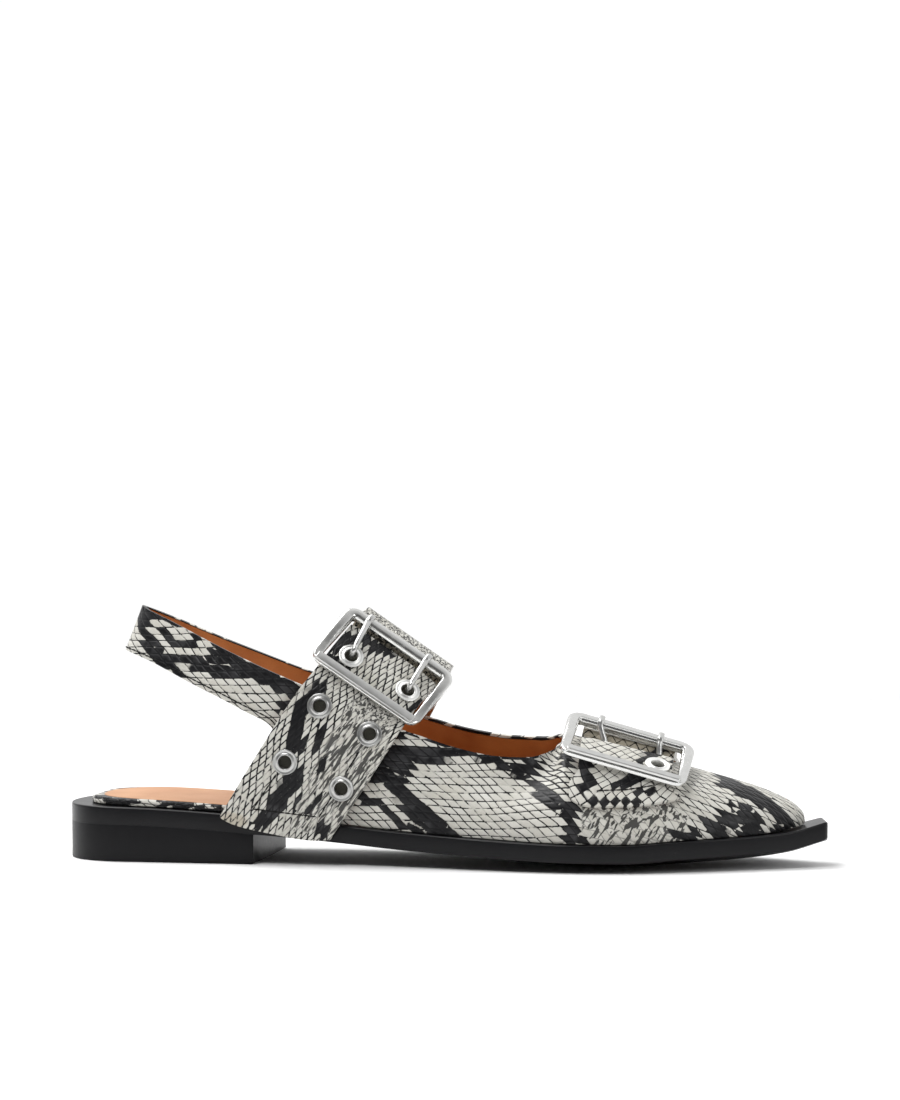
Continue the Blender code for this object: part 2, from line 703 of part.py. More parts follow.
def build_plate(name, home, material, axes):
    """The flat plate over the near bar, with its outer edges bevelled."""
    middle, first, second, third = axes
    low = NEAR_BAR_THICKNESS - BAR_THICKNESS / 2 + GAP
    centre = middle - second * (BAR_SPACING / 2)
    rings = []
    for height, inset in ((0.0, 0.0), (PLATE_THICKNESS - 0.4, 0.0), (PLATE_THICKNESS, 0.4)):
        half_a, half_b = PLATE_LENGTH / 2 - inset, PLATE_WIDTH / 2 - inset
        corners = ((-half_a, -half_b), (half_a, -half_b), (half_a, half_b), (-half_a, half_b))
        rings.append([centre + first * a + second * b + third * (low + height) for a, b in corners])
    return add_object(name, loft(rings), home, material)


def wire(name, home, material, points, radius):
    """A round wire along shoe points, with closed ends."""
    curve = bpy.data.curves.new(name, "CURVE")
    curve.dimensions = "3D"
    curve.bevel_depth = radius * MM
    curve.bevel_resolution = 2
    curve.use_fill_caps = True
    spline = curve.splines.new("POLY")
    spline.points.add(len(points) - 1)
    for knot, place in zip(spline.points, world(points)):
        knot.co = (*place, 1.0)
    curve.materials.append(material)
    obj = bpy.data.objects.new(name, curve)
    home.objects.link(obj)
    return obj


def far_bar_hook(axes, along):
    """Points of a prong's hook, from the outer side of the far bar over its top to its inner side."""
    middle, first, second, third = axes
    reach_b = BAR_WIDTH / 2 + GAP + PRONG_RADIUS
    reach_n = BAR_THICKNESS / 2 + GAP + PRONG_RADIUS
    base = middle + first * along + second * (BAR_SPACING / 2)
    rows = ((1.0, -0.35), (1.02, 0.35), (0.72, 0.95), (0.0, 1.06), (-0.72, 0.95), (-1.02, 0.35))
    return [base + second * (b * reach_b) + third * (n * reach_n) for b, n in rows]


def build_instep_prongs(home, material, axes):
    """Prongs hooked over the far bar, lying over the strap, with their tips down in the eyelets."""
    made = []
    for name, number, along in (("rear", 4, -14.0), ("front", 5, 11.0)):
        place, axis = instep_eyelet(INSTEP_EYELETS["t"][number], INSTEP_EYELETS["w"][number])
        hook = far_bar_hook(axes, along)
        toward = hook[-1] - place
        toward = unit(toward - axis * (toward @ axis))
        ends = [place + toward * b + axis * n for b, n in ((5.2, 3.1), (1.4, 3.0), (0.3, 1.7), (0.0, -1.0))]
        made.append(wire("instep_prong_" + name, home, material, hook[:-1] + ends, PRONG_RADIUS))
    return made


def build_toe_prongs(home, material, axes):
    """Prongs hooked over the far bar, with their tips tucked under the strap's free end."""
    made = []
    low = GAP + PRONG_RADIUS
    for name, tip_q, w, along in (("rear", -0.25, 0.27, -11.5), ("front", -0.30, 0.87, 10.5)):
        q = np.array([-0.122, TOE_TIP + 0.022, tip_q])
        run = upper_offset(toe_rib(w, q), q, [low + 1.1, low + 0.05, low + 0.05])
        points = far_bar_hook(axes, along) + list(run)
        made.append(wire("toe_prong_" + name, home, material, points, PRONG_RADIUS))
    return made


# Eyelets


def turned(name, home, material, profile, steps, place, axis):
    """A turned piece: a closed profile of (radius, height), swept round an axis that stands at a point."""
    bm = bmesh.new()
    verts = [bm.verts.new((r * MM, 0.0, z * MM)) for r, z in profile]
    for one, two in zip(verts, verts[1:] + verts[:1]):
        bm.edges.new((one, two))
    bmesh.ops.spin(
        bm,
        geom=bm.verts[:] + bm.edges[:],
        cent=(0, 0, 0),
        axis=(0, 0, 1),
        angle=2 * math.pi,
        steps=steps,
        use_merge=True,
    )
    bmesh.ops.remove_doubles(bm, verts=bm.verts, dist=0.0001 * MM)
    bmesh.ops.recalc_face_normals(bm, faces=bm.faces)
    turn = Vector((0, 0, 1)).rotation_difference(Vector(axis)).to_matrix().to_4x4()
    bm.transform(Matrix.Translation(Vector(world([place])[0])) @ turn)
    return add_object(name, bm, home, material)


def build_eyelet(name, home, material, cutters, strap, place, axis):
    """A rolled eyelet in the strap, and the hole that it sits in. place is on the strap's outer face."""
    profile = (
        (EYELET_HOLE, -STRAP_WALL),
        (EYELET_BARREL, -STRAP_WALL),
        (EYELET_BARREL, GAP),
        (EYELET_RADIUS, GAP),
        (EYELET_RADIUS, GAP + 0.35 * EYELET_RISE),
        (EYELET_RADIUS - 0.55, GAP + EYELET_RISE),
        (EYELET_HOLE + 0.45, GAP + EYELET_RISE),
        (EYELET_HOLE, GAP + 0.5 * EYELET_RISE),
    )
    turned(name, home, material, profile, EYELET_SIDES, place, axis)
    hole = EYELET_BARREL + GAP + 0.1
    deep = 2.5 * STRAP_WALL
    bm = bmesh.new()
    bmesh.ops.create_cone(
        bm, cap_ends=True, segments=EYELET_SIDES, radius1=hole * MM, radius2=hole * MM, depth=deep * MM
    )
    turn = Vector((0, 0, 1)).rotation_difference(Vector(axis)).to_matrix().to_4x4()
    bm.transform(Matrix.Translation(Vector(world([np.asarray(place) - 0.5 * STRAP_WALL * axis])[0])) @ turn)
    cut(strap, add_object("hole_" + name, bm, cutters))


def instep_eyelet(t, w):
    """Place of an eyelet on the lateral instep strap's outer face, and the direction out of it."""
    step = 0.02

    def outer(i, j):
        at = np.array([t + i * step])
        return instep_point(at, [w + j * step], instep_lift(at) + STRAP_WALL)[0]

    axis = unit(np.cross(outer(0, 1) - outer(0, -1), outer(1, 0) - outer(-1, 0)))
    return outer(0, 0), axis


def toe_eyelet(q, w):
    """The same for an eyelet on the lateral toe strap."""
    rib = [toe_rib(w, q)]
    return upper_offset(rib, [q], [toe_lift(q) + STRAP_WALL])[0], upper_normal(rib, [q])[0]


def build_eyelets(home, material, cutters, instep_strap, toe_strap):
    for number, (t, w) in enumerate(zip(INSTEP_EYELETS["t"], INSTEP_EYELETS["w"]), 1):
        build_eyelet(f"instep_eyelet_{number}", home, material, cutters, instep_strap, *instep_eyelet(t, w))
    build_eyelet("toe_eyelet", home, material, cutters, toe_strap, *toe_eyelet(*TOE_EYELET))


def main():
    clear_scene()
    shoe = collection("slingback_flat")
    cutters = collection("cutters")
    snake = finish_material("snake_print_leather", (0.42, 0.41, 0.38), 0.38)
    black = finish_material("black_sole", (0.012, 0.012, 0.013), 0.42)
    tan = finish_material("tan_leather", (0.47, 0.22, 0.10), 0.5)
    steel = finish_material("polished_nickel", (0.72, 0.72, 0.71), 0.16, 1.0)
    build_outsole(shoe, black)
    build_heel(shoe, black)
    build_insole(shoe, tan)
    build_upper(shoe, snake)
    instep_lateral, _ = build_instep_straps(shoe, snake)
    toe_lateral, _ = build_toe_straps(shoe, snake)
    for name, axes in (("instep_buckle", instep_buckle()), ("toe_buckle", toe_buckle())):
        build_buckle_frame(name + "_frame", shoe, steel, axes)
        build_plate(name + "_plate", shoe, steel, axes)
    build_instep_prongs(shoe, steel, instep_buckle())
    build_toe_prongs(shoe, steel, toe_buckle())
    build_eyelets(shoe, steel, cutters, instep_lateral, toe_lateral)


main()
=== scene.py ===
"""Finished look of the pointed toe slingback flat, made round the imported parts.

Metres, +Z up. +X runs to the toe, -Y is the outer (lateral) side and +Y the inner (medial) side.
The tables are the part's own, in millimetres, with "s" the distance from the back of the heel along the
shoe. Only the instep strap is a little wider here, between the bars of its buckle.
"""

import math

import bpy
import numpy as np
from mathutils import Matrix, Vector

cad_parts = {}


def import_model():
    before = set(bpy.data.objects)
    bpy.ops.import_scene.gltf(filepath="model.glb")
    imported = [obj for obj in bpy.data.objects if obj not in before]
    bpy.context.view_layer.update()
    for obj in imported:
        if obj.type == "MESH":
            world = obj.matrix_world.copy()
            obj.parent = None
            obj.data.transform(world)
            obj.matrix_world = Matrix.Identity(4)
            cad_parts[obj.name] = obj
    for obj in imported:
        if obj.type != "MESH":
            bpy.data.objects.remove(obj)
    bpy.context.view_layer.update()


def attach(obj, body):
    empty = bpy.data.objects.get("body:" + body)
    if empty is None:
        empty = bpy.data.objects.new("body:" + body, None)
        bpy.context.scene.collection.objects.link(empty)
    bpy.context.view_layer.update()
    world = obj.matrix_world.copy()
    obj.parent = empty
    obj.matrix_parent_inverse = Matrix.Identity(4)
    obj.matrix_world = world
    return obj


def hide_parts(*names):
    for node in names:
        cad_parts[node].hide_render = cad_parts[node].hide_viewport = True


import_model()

MM = 0.001

# The photograph's frame and the camera that took it
PHOTO_SIZE = (900, 1100)
PHOTO_CENTRE = (445.6, 762.5)     # pixel that the camera's axis passes through
PHOTO_FOCAL = 3314.6              # focal length in pixels
CAMERA_TARGET = np.array([0.0, 0.001, 0.035])
CAMERA_DISTANCE = 1.2
CAMERA_YAW = math.radians(9.5)
CAMERA_RISE = math.radians(4.7)

# Sizes that the solids have, in millimetres
LENGTH = 276.0
HEEL_ROUND = 26.0
HEEL_POWER = 2.4          # exponent of the round of the heel
HEEL_LENGTH = 73.0
SOLE_THICKNESS = 6.4
TIP_SKEW = 2.5
TIP_SKEW_LENGTH = 30.0
INSOLE_THICKNESS = 2.6
INSOLE_START = 7.5
STRAP_WALL = 2.0
GAP = 0.3
MIDLINE = 1.0
KAPPA = 0.5523            # handle of a curve that stands for a quarter circle, as a share of its radius
BUCKLE_LENGTH = 47.0
BAR_SPACING = 25.5
BAR_WIDTH = 4.4
BAR_THICKNESS = 3.4
NEAR_BAR_WIDTH = 3.4
NEAR_BAR_THICKNESS = 1.7
BUCKLE_CORNER = 3.2
PLATE_LENGTH = 42.0
PLATE_WIDTH = 3.8
PRONG_RADIUS = 1.1
EYELET_RADIUS = 4.5
EYELET_HOLE = 2.4
EYELET_BARREL = 2.9

# Sizes that only the look has, in millimetres
INSOLE_ROLL = 4.0         # length of the insole's rolled back end
SOCK_INSET = 4.5          # how far the tan sock stays in from the insole's back end
SOCK_RIM = 1.0            # and from its sides
SOCK_RISE = 0.15
SOCK_SINK = 0.3           # how far it reaches into the insole
HEEL_SEAM = 0.02          # between the heel and the outsole
SEAM_CORNER = 0.03        # corner radius along that seam
HOOK_RADIUS = 0.45        # half thickness where a prong is flattened round the far bar
HOOK_GAP = 0.08
EDGE_BEVEL = 0.4          # on the straps' edges
PUNCH_ROOM = 0.25         # round an eyelet's barrel

# Thicknesses of the leathers
SKIN = 0.9                # printed leather of the upper
FOLD = 1.8                # where it is folded over along the top line
FOLD_DEPTH = 1.0          # how far the fold reaches down at the throat and the sides
SLING_FOLD_DEPTH = 0.3    # and on the sling
LINING = 0.7
LINING_GAP = 0.1


def table(columns, *rows):
    """A table as a dict of named columns."""
    return dict(zip(columns.split(), np.array(rows, float).T))


SOLE = table(
    "s lateral medial edge under",
    (0, 28.0, 28.0, 13.3, 13.3),
    (26, 28.0, 28.0, 13.1, 13.1),
    (48, 28.3, 27.9, 12.3, 12.3),
    (73, 28.6, 27.0, 10.6, 10.6),
    (100, 29.2, 25.6, 8.5, 8.2),
    (130, 32.0, 28.0, 6.0, 4.6),
    (158, 37.0, 33.5, 4.5, 1.7),
    (187, 40.0, 38.0, 3.5, 0.0),
    (207, 38.0, 37.4, 3.3, 0.0),
    (225, 31.5, 33.4, 4.3, 1.1),
    (245, 22.0, 26.6, 5.2, 2.7),
    (262, 12.6, 19.0, 6.3, 5.0),
    (LENGTH, 4.5, 13.0, 9.8, 9.2),
)
CROWN_FLAT = 0.26
INSOLE = table(
    "s lateral medial",
    (7.5, 25.4, 25.4),
    (33.5, 25.4, 25.4),
    (58, 26.0, 25.0),
    (72, 22.8, 20.8),
    (100, 22.8, 19.8),
    (125, 26.2, 22.2),
    (145, 29.2, 25.4),
    (165, 32.6, 29.4),
    (185, 34.6, 32.6),
    (205, 32.6, 32.4),
    (225, 25.6, 27.8),
    (245, 15.6, 20.6),
    (257, 6.0, 13.2),
    (261, 1.0, 8.6),
)
UPPER = table(
    "foot_s foot_lateral foot_medial lift top_s ridge top_lateral top_medial"
    " top_z medial_up foot_lean top_lean facing",
    (267.4, -4.5, 4.5, 0.6, 260.8, 4.3, 0.0, 0.0, 23.0, 0.0, 4, 60, 90),
    (266.2, 0.2, 9.0, 0.6, 258.2, 4.2, 0.0, 0.0, 24.4, 0.0, 4, 70, 61),
    (262.6, 5.4, 13.4, 0.5, 254.6, 4.0, 0.0, 0.0, 26.1, 0.0, 5, 76, 41),
    (256.0, 12.2, 18.4, 0.3, 249.0, 3.6, 0.0, 0.0, 28.3, 0.0, 6, 80, 24),
    (245.0, 19.4, 24.0, 0.0, 240.0, 3.2, 0.0, 0.0, 30.9, 0.0, 7, 82, 13),
    (225.0, 29.0, 31.0, 0.0, 224.0, 2.4, 0.0, 0.0, 35.3, 0.0, 8, 83, 3),
    (207.0, 35.2, 35.0, 0.0, 207.5, 1.6, 0.0, 0.0, 39.6, 0.0, 8, 83, 0),
    (196.0, 37.2, 36.0, 0.0, 194.0, 1.0, 0.0, 0.0, 43.2, 0.0, 8, 82, 2),
    (187.0, 37.6, 35.8, 0.0, 182.0, 0.5, 0.0, 0.0, 46.2, 0.0, 8, 78, 3),
    (180.0, 37.2, 35.2, 0.0, 181.0, 0.4, 8.6, 8.6, 43.0, 2.2, 8, 58, 0),
    (171.0, 36.2, 33.8, 0.0, 177.0, 0.2, 16.8, 16.4, 40.3, 4.3, 8, 38, 0),
    (160.0, 34.6, 31.2, 0.0, 170.5, 0.0, 22.4, 21.4, 39.1, 4.3, 8, 22, 0),
    (147.0, 32.2, 28.4, 0.0, 160.0, 0.0, 25.6, 24.0, 39.7, 3.8, 8, 14, 0),
    (133.0, 29.8, 25.8, 0.0, 147.0, 0.0, 26.2, 24.6, 42.3, 2.8, 7, 10, 0),
    (118.0, 28.0, 24.0, 0.0, 133.0, 0.0, 26.0, 24.6, 46.6, 1.8, 7, 7, 0),
    (103.0, 27.0, 23.4, 0.0, 119.0, 0.0, 25.4, 24.6, 51.2, 1.6, 6, 5, 0),
    (89.0, 26.6, 23.8, 0.0, 106.5, 0.0, 25.2, 24.6, 56.8, 2.0, 5, 4, 0),
    (79.0, 26.4, 24.4, 0.0, 97.5, 0.0, 25.2, 24.6, 60.8, 0.8, 4, 4, 0),
    (79.6, 26.4, 25.4, 14.0, 93.0, 0.0, 25.2, 24.8, 62.8, 0.3, 3, 2, 0),
    (82.0, 26.4, 26.0, 25.5, 89.8, 0.0, 25.3, 25.0, 64.2, 0.0, 2, 0, 0),
    (79.2, 26.2, 26.0, 32.2, 86.0, 0.0, 25.2, 25.0, 65.8, -0.3, -2, 2, 0),
    (67.2, 24.4, 24.0, 37.7, 74.2, 0.0, 23.4, 23.0, 70.6, -0.8, -7, 7, -13),
    (47.9, 18.2, 18.2, 45.0, 54.2, 0.0, 16.4, 16.4, 79.0, -0.8, -12, 12, -21),
    (31.5, 11.0, 11.0, 51.5, 37.2, 0.0, 9.0, 9.0, 86.5, -0.4, -15, 15, -28),
    (21.6, 5.0, 5.0, 54.7, 27.9, 0.0, 4.0, 4.0, 90.2, 0.0, -18, 18, -48),
    (19.1, 0.0, 0.0, 55.2, 25.5, 0.0, 0.0, 0.0, 91.4, 0.0, -21, 21, -90),
)
THROAT_RIB = 8
SLING_RIB = 21
LAST_RIB = len(UPPER["lift"]) - 1

INSTEP_FOOT = (81.6, 13.4)
INSTEP_TOP = (124.6, 80.6)
INSTEP = table(
    "t across rise slope wide",
    (-0.03, -29.6, -0.050, 10.5, 41.0),
    (0.00, -29.9, 0.000, 10.5, 41.0),
    (0.12, -30.7, 0.200, 12.5, 41.0),
    (0.26, -30.7, 0.440, 16.0, 40.5),
    (0.36, -29.2, 0.600, 23.0, 39.0),
    (0.42, -26.2, 0.666, 31.0, 37.6),
    (0.46, -21.6, 0.727, 33.5, 37.4),
    (0.50, -16.6, 0.788, 34.5, 37.4),
    (0.58, -7.0, 0.884, 34.5, 37.4),
    (0.64, 0.0, 0.936, 34.5, 37.4),
    (0.70, 7.0, 0.955, 34.0, 37.2),
    (0.76, 15.5, 0.905, 31.5, 36.4),
    (0.82, 23.5, 0.785, 28.0, 37.5),
    (0.88, 28.2, 0.600, 22.0, 39.0),
    (0.94, 29.6, 0.330, 15.0, 40.5),
    (1.00, 27.8, 0.000, 10.5, 41.0),
)
INSTEP_FOOT_ROUND = 0.018
INSTEP_NEAR_BAR = 0.418
INSTEP_FAR_BAR = 0.622
INSTEP_TIP = 0.572
INSTEP_TURN = 0.520
INSTEP_LIFT_FROM = 0.430
INSTEP_LIFT_TO = 0.500
INSTEP_EYELETS = table(
    "t w",
    (0.188, 0.26),
    (0.156, 0.83),
    (0.352, 0.25),
    (0.330, 0.78),
    (0.490, 0.20),
    (0.500, 0.83),
)
PRONG_EYELETS = (5, 6)            # numbers of the eyelets that the instep prongs go through
INSTEP_PRONGS = (-14.0, 11.0)     # places of their hooks along the far bar
TOE_PRONGS = (                    # q of the tip, w, and the hook's place along the far bar
    ("rear", -0.25, 0.27, -11.5),
    ("front", -0.30, 0.87, 10.5),
)
TOE_EYELET = (-0.343, 0.875)
TOE_REAR_RIB = 7.72
TOE_FRONT_RIB = 4.95
TOE_TAPER = 0.10
TOE_END = -0.70
TOE_END_ROUND = 0.07
TOE_END_SLANT = 0.11
TOE_BUCKLE_DIP = 2.5
TOE_NEAR_BAR = -0.465
TOE_FAR_BAR = -0.02
TOE_TIP = -0.187
TOE_TURN = -0.085
TOE_MEDIAL_END = 0.78
TOE_LIFT_FROM = -0.46
TOE_LIFT_TO = -0.34
TURN_EXTRA = 2.0
INSTEP_TURNED = (0.582, 0.600, 0.660, 0.740)
TOE_TURNED = (-0.075, -0.055, 0.070, 0.170)
INSTEP_BUCKLE_EASE = (1.35, 0.95)
TOE_BUCKLE_EASE = (1.8, 1.2)
TOE_BUCKLE_MIDDLE = 0.54

# Where the turned back ends of the medial straps take a darker beige tint of painted shade, from full to
# none, and how much
INSTEP_TURN_SHADE = (0.600, 0.612)
TOE_TURN_SHADE = (-0.05, -0.03)
TURN_SHADE = 0.7
# At the worn corner of the instep strap the same beige is the flesh side of the leather
RAW_EDGE = 0.55                   # the same at the worn corner of the instep strap

# Scale rows of the print: two steps from one scale to the next, in millimetres on the skin
UPPER_SCALES = ((3.8, 0.33), (2.9, -2.55))
INSTEP_SCALES = ((1.0, 3.5), (-1.2, 2.97))
TOE_SCALES = ((2.2, 2.2), (-2.0, 2.4))
SCALE_WANDER = 0.16               # how far the rows stray from straight, in scales

# Dark marks of the print, charted as brush strokes: a width and the points of its line, all in
# pixels of the photograph. The camera carries them onto the leather. Patches are charted by their corners.
UPPER_STROKES = (
    (10.0, ((142.4, 609.7), (156.4, 615.8))),
    (11.5, ((140.6, 615.8), (144.2, 632.7), (152.7, 648.5), (166.0, 663.0), (178.2, 672.7))),
    (13.0, ((168.5, 659.4), (192.7, 661.8), (212.0, 669.0), (236.4, 672.7))),
    (16.0, ((212.0, 657.0), (229.0, 658.2), (248.5, 670.3), (271.5, 680.0), (295.8, 693.3))),
    (10.0, ((217.0, 646.0), (232.7, 653.3))),
    (6.5, ((163.6, 630.3), (169.7, 640.0), (183.0, 644.8), (197.6, 640.0), (195.0, 636.4))),
    (8.0, ((281.0, 709.0), (294.5, 702.0))),
    (13.0, ((391.4, 749.9), (404.6, 753.2), (421.2, 754.8), (437.8, 755.7), (449.4, 753.2))),
    (16.0, ((381.4, 759.0), (393.0, 763.1), (404.6, 766.4))),
    (16.0, ((374.8, 773.9), (388.0, 776.4), (396.3, 781.4))),
    (17.0, ((391.4, 779.7), (398.8, 791.3), (407.1, 802.9), (417.9, 812.9), (427.8, 822.0), (437.8, 830.3))),
    (8.0, ((361.5, 798.8), (373.1, 799.6), (379.8, 801.3))),
    (8.0, ((383.9, 808.7), (393.0, 818.7), (404.6, 827.0), (421.2, 831.1))),
    (7.0, ((394.7, 735.8), (404.6, 734.0))),
    (15.0, ((568.9, 806.7), (569.8, 825.2), (571.7, 841.9))),
    (8.0, ((571.7, 840.0), (585.6, 840.0))),
    (11.0, ((679.0, 834.4), (692.0, 834.4))),
    (13.0, ((722.9, 779.8), (737.0, 788.0), (753.5, 795.0), (767.8, 803.3), (776.9, 813.5), (785.0, 821.6),
            (788.2, 827.8))),
    (12.0, ((788.2, 823.7), (778.0, 831.8))),
    (14.0, ((710.6, 824.7), (722.9, 821.6), (737.0, 818.6), (751.4, 817.6), (757.6, 824.7))),
    (14.0, ((751.4, 826.7), (745.3, 835.0), (759.6, 833.9))),
    (18.0, ((719.8, 830.8), (720.8, 838.0))),
    (6.0, ((730.0, 803.3), (733.0, 810.4))),
    (5.0, ((741.2, 804.3), (749.4, 811.4))),
)
UPPER_PATCHES = (
    (
        (435.7, 742.5), (453.9, 746.3), (477.8, 753.0), (501.8, 757.8), (509.4, 765.9), (521.9, 771.7),
        (525.7, 777.4), (520.0, 778.4), (514.2, 775.5), (509.4, 769.3), (496.0, 768.8), (491.2, 764.0),
        (482.6, 764.5), (477.8, 758.8), (466.4, 757.3), (453.0, 758.8), (443.4, 761.6), (430.0, 762.6),
        (430.0, 745.8),
    ),
    ((509.4, 766.0), (521.9, 762.0), (537.2, 762.0), (538.0, 769.8), (525.7, 777.4)),
    (
        (526.7, 783.2), (535.3, 781.2), (544.8, 788.9), (552.5, 792.7), (564.0, 799.4), (563.0, 811.9),
        (554.4, 812.8), (544.8, 804.2), (537.2, 795.6), (531.4, 788.9),
    ),
    ((430.0, 819.5), (438.6, 826.2), (449.1, 826.2), (461.6, 838.2), (430.0, 835.8)),
    ((563.0, 808.0), (577.4, 808.0), (579.3, 844.4), (563.0, 844.4)),
    ((559.0, 751.6), (571.6, 751.6), (573.5, 766.0), (568.8, 767.8), (562.0, 761.0)),
)
UPPER_BOLD = (                    # places where the scales have heavy outlines
    ((502.0, 757.0), (545.0, 757.0), (574.0, 775.0), (574.0, 799.0), (540.0, 792.0), (505.0, 775.0)),
)
UPPER_FLECKED = (                 # places with streaky flecks
    ((582.0, 800.0), (660.0, 800.0), (690.0, 812.0), (680.0, 850.0), (582.0, 850.0)),
)
INSTEP_STROKES = (
    (15.0, ((317.9, 689.5), (307.3, 698.9), (301.4, 713.0), (297.8, 730.8), (295.5, 747.3))),
    (19.0, ((296.7, 773.2), (288.4, 787.4), (277.8, 801.5))),
    (14.0, ((277.8, 801.5), (269.5, 815.7), (258.9, 823.9))),
    (8.0, ((320.2, 730.8), (317.9, 740.2), (314.3, 748.4))),
    (7.0, ((321.4, 763.8), (317.9, 772.0))),
    (6.0, ((316.7, 798.0), (313.2, 806.2), (307.3, 813.3))),
    (3.0, ((299.0, 798.0), (294.3, 809.8))),
    (10.0, ((322.6, 825.0), (321.4, 833.3))),
    (11.0, ((333.7, 648.6), (348.0, 640.9), (358.6, 637.0), (372.0, 644.8), (389.2, 652.4))),
    (8.0, ((328.9, 658.2), (336.6, 662.0), (346.1, 668.7))),
    (5.0, ((412.2, 709.8), (417.9, 702.2))),
)
INSTEP_FLECKED = (
    ((350.0, 700.0), (395.0, 700.0), (380.0, 790.0), (345.0, 836.0), (290.0, 830.0), (312.0, 770.0)),
    ((368.0, 604.0), (462.0, 655.0), (458.0, 680.0), (365.0, 628.0)),
)
# The corner of the instep strap's foot where the worn leather shows its flesh side
INSTEP_RAW = ((216.0, 814.0), (228.0, 811.0), (246.0, 816.0), (248.0, 824.0), (236.0, 830.0), (216.0, 822.0))
TOE_STROKES = (
    (12.0, ((581.4, 756.3), (586.8, 767.9), (585.9, 785.7), (582.3, 790.2))),
    (10.0, ((640.4, 774.0), (627.9, 782.0), (617.0, 785.7))),
    (9.0, ((663.6, 750.0), (653.8, 751.8), (642.0, 761.6))),
    (6.0, ((673.4, 762.5), (675.0, 776.8))),
)
TOE_CHEQUERED = (11.0, ((576.0, 805.4), (613.6, 802.7), (649.3, 792.9)))     # every second scale is dark

# Soft pleats where the leather is pulled under the sole: rib, height, angle in degrees, length and rise
PLEATS = (
    (9.35, 4.0, 38.0, 7.0, 0.22),
    (9.75, 3.2, 46.0, 6.0, 0.18),
)
PLEAT_BREADTH = 0.9


def smooth(data, key, column, at):
    """A column read at any place of the key column, on a curve that keeps the column's rises and falls."""
    x, y = data[key], data[column]
    step, slope = np.diff(x), np.diff(y) / np.diff(x)
    left, right = slope[:-1], slope[1:]
    w1, w2 = 2 * step[1:] + step[:-1], step[1:] + 2 * step[:-1]
    same = left * right > 0
    mean = w1 / np.where(same, left, 1) + w2 / np.where(same, right, 1)
    inner = np.where(same, (w1 + w2) / np.where(same, mean, 1), 0)
    tangent = np.concatenate([[slope[0]], inner, [slope[-1]]])
    at = np.asarray(at, float)
    i = np.clip(np.searchsorted(x, at) - 1, 0, len(step) - 1)
    u = np.clip((at - x[i]) / step[i], 0, 1)
    h = step[i]
    return (
        y[i] * (1 + 2 * u) * (1 - u) ** 2
        + h * tangent[i] * u * (1 - u) ** 2
        + y[i + 1] * u * u * (3 - 2 * u)
        + h * tangent[i + 1] * u * u * (u - 1)
    )


def ease(x, low, high):
    """0 below low, 1 above high, and a smooth step between."""
    u = np.clip((np.asarray(x, float) - low) / (high - low), 0, 1)
    return u * u * (3 - 2 * u)


def unit(v):
    return v / np.maximum(np.linalg.norm(v, axis=-1, keepdims=True), 1e-9)


def walked(points):
    """Distances walked from the first row of points to each of the others."""
    return np.cumsum(np.linalg.norm(np.diff(points, axis=0, prepend=points[:1]), axis=-1), axis=0)


def world(points):
    """Shoe points (s, y, z) in millimetres as world points in metres."""
    return (np.asarray(points, float) + (-LENGTH / 2, MIDLINE, 0)) * MM


# Camera


def camera_axes():
    back = np.array([
        math.sin(CAMERA_YAW) * math.cos(CAMERA_RISE),
        -math.cos(CAMERA_YAW) * math.cos(CAMERA_RISE),
        math.sin(CAMERA_RISE),
    ])
    right = unit(np.cross((0.0, 0.0, 1.0), back))
    return right, np.cross(back, right), back


def photo_place(points):
    """Pixels of the photograph where shoe points show."""
    right, up, back = camera_axes()
    from_target = world(points) - CAMERA_TARGET
    depth = CAMERA_DISTANCE - from_target @ back
    return np.stack([
        PHOTO_CENTRE[0] + PHOTO_FOCAL * (from_target @ right) / depth,
        PHOTO_CENTRE[1] - PHOTO_FOCAL * (from_target @ up) / depth,
    ], -1)


def add_camera():
    right, up, back = camera_axes()
    place = Vector(CAMERA_TARGET + back * CAMERA_DISTANCE)
    turn = Matrix((right, up, back)).transposed()
    bpy.ops.object.camera_add()
    camera = bpy.context.object
    camera.name = "photo_camera"
    camera.matrix_world = Matrix.Translation(place) @ turn.to_4x4()
    lens = camera.data
    lens.sensor_fit = "VERTICAL"
    lens.sensor_height = 36.0
    lens.lens = PHOTO_FOCAL / PHOTO_SIZE[1] * lens.sensor_height
    lens.shift_x = (PHOTO_SIZE[0] / 2 - PHOTO_CENTRE[0]) / PHOTO_SIZE[1]
    lens.shift_y = (PHOTO_CENTRE[1] - PHOTO_SIZE[1] / 2) / PHOTO_SIZE[1]
    bpy.context.scene.camera = camera


# Shapes shared with the solids


def heel_rounding(s, start, length):
    """Share of the half width that the rounded back leaves at s."""
    u = np.clip((s - start) / length, 0.0, 1.0)
    return (1 - (1 - u) ** HEEL_POWER) ** (1 / HEEL_POWER)


def sole_half(side, s):
    return smooth(SOLE, "s", side, s) * heel_rounding(s, 0.0, HEEL_ROUND)


def sole_edge(s):
    return smooth(SOLE, "s", "edge", s)


def sole_under(s):
    return smooth(SOLE, "s", "under", s)


def sole_top(s):
    return sole_edge(s) + SOLE_THICKNESS


def rib_column(name, rib):
    """A column of the upper's table at any rib. A mirrored row past each end keeps the toe and the back
    smooth."""
    other = {"lateral": "medial", "medial": "lateral"}
    stem, _, side = name.rpartition("_")
    ends = []
    for row, turn in ((1, 180.0), (LAST_RIB - 1, -180.0)):
        if side in other:
            ends.append(-UPPER[stem + "_" + other[side]][row])
        else:
            ends.append(turn - UPPER[name][row] if name == "facing" else UPPER[name][row])
    rows = {
        "rib": np.arange(-1.0, LAST_RIB + 2),
        "value": np.concatenate([ends[:1], UPPER[name], ends[1:]]),
    }
    return smooth(rows, "rib", "value", rib)


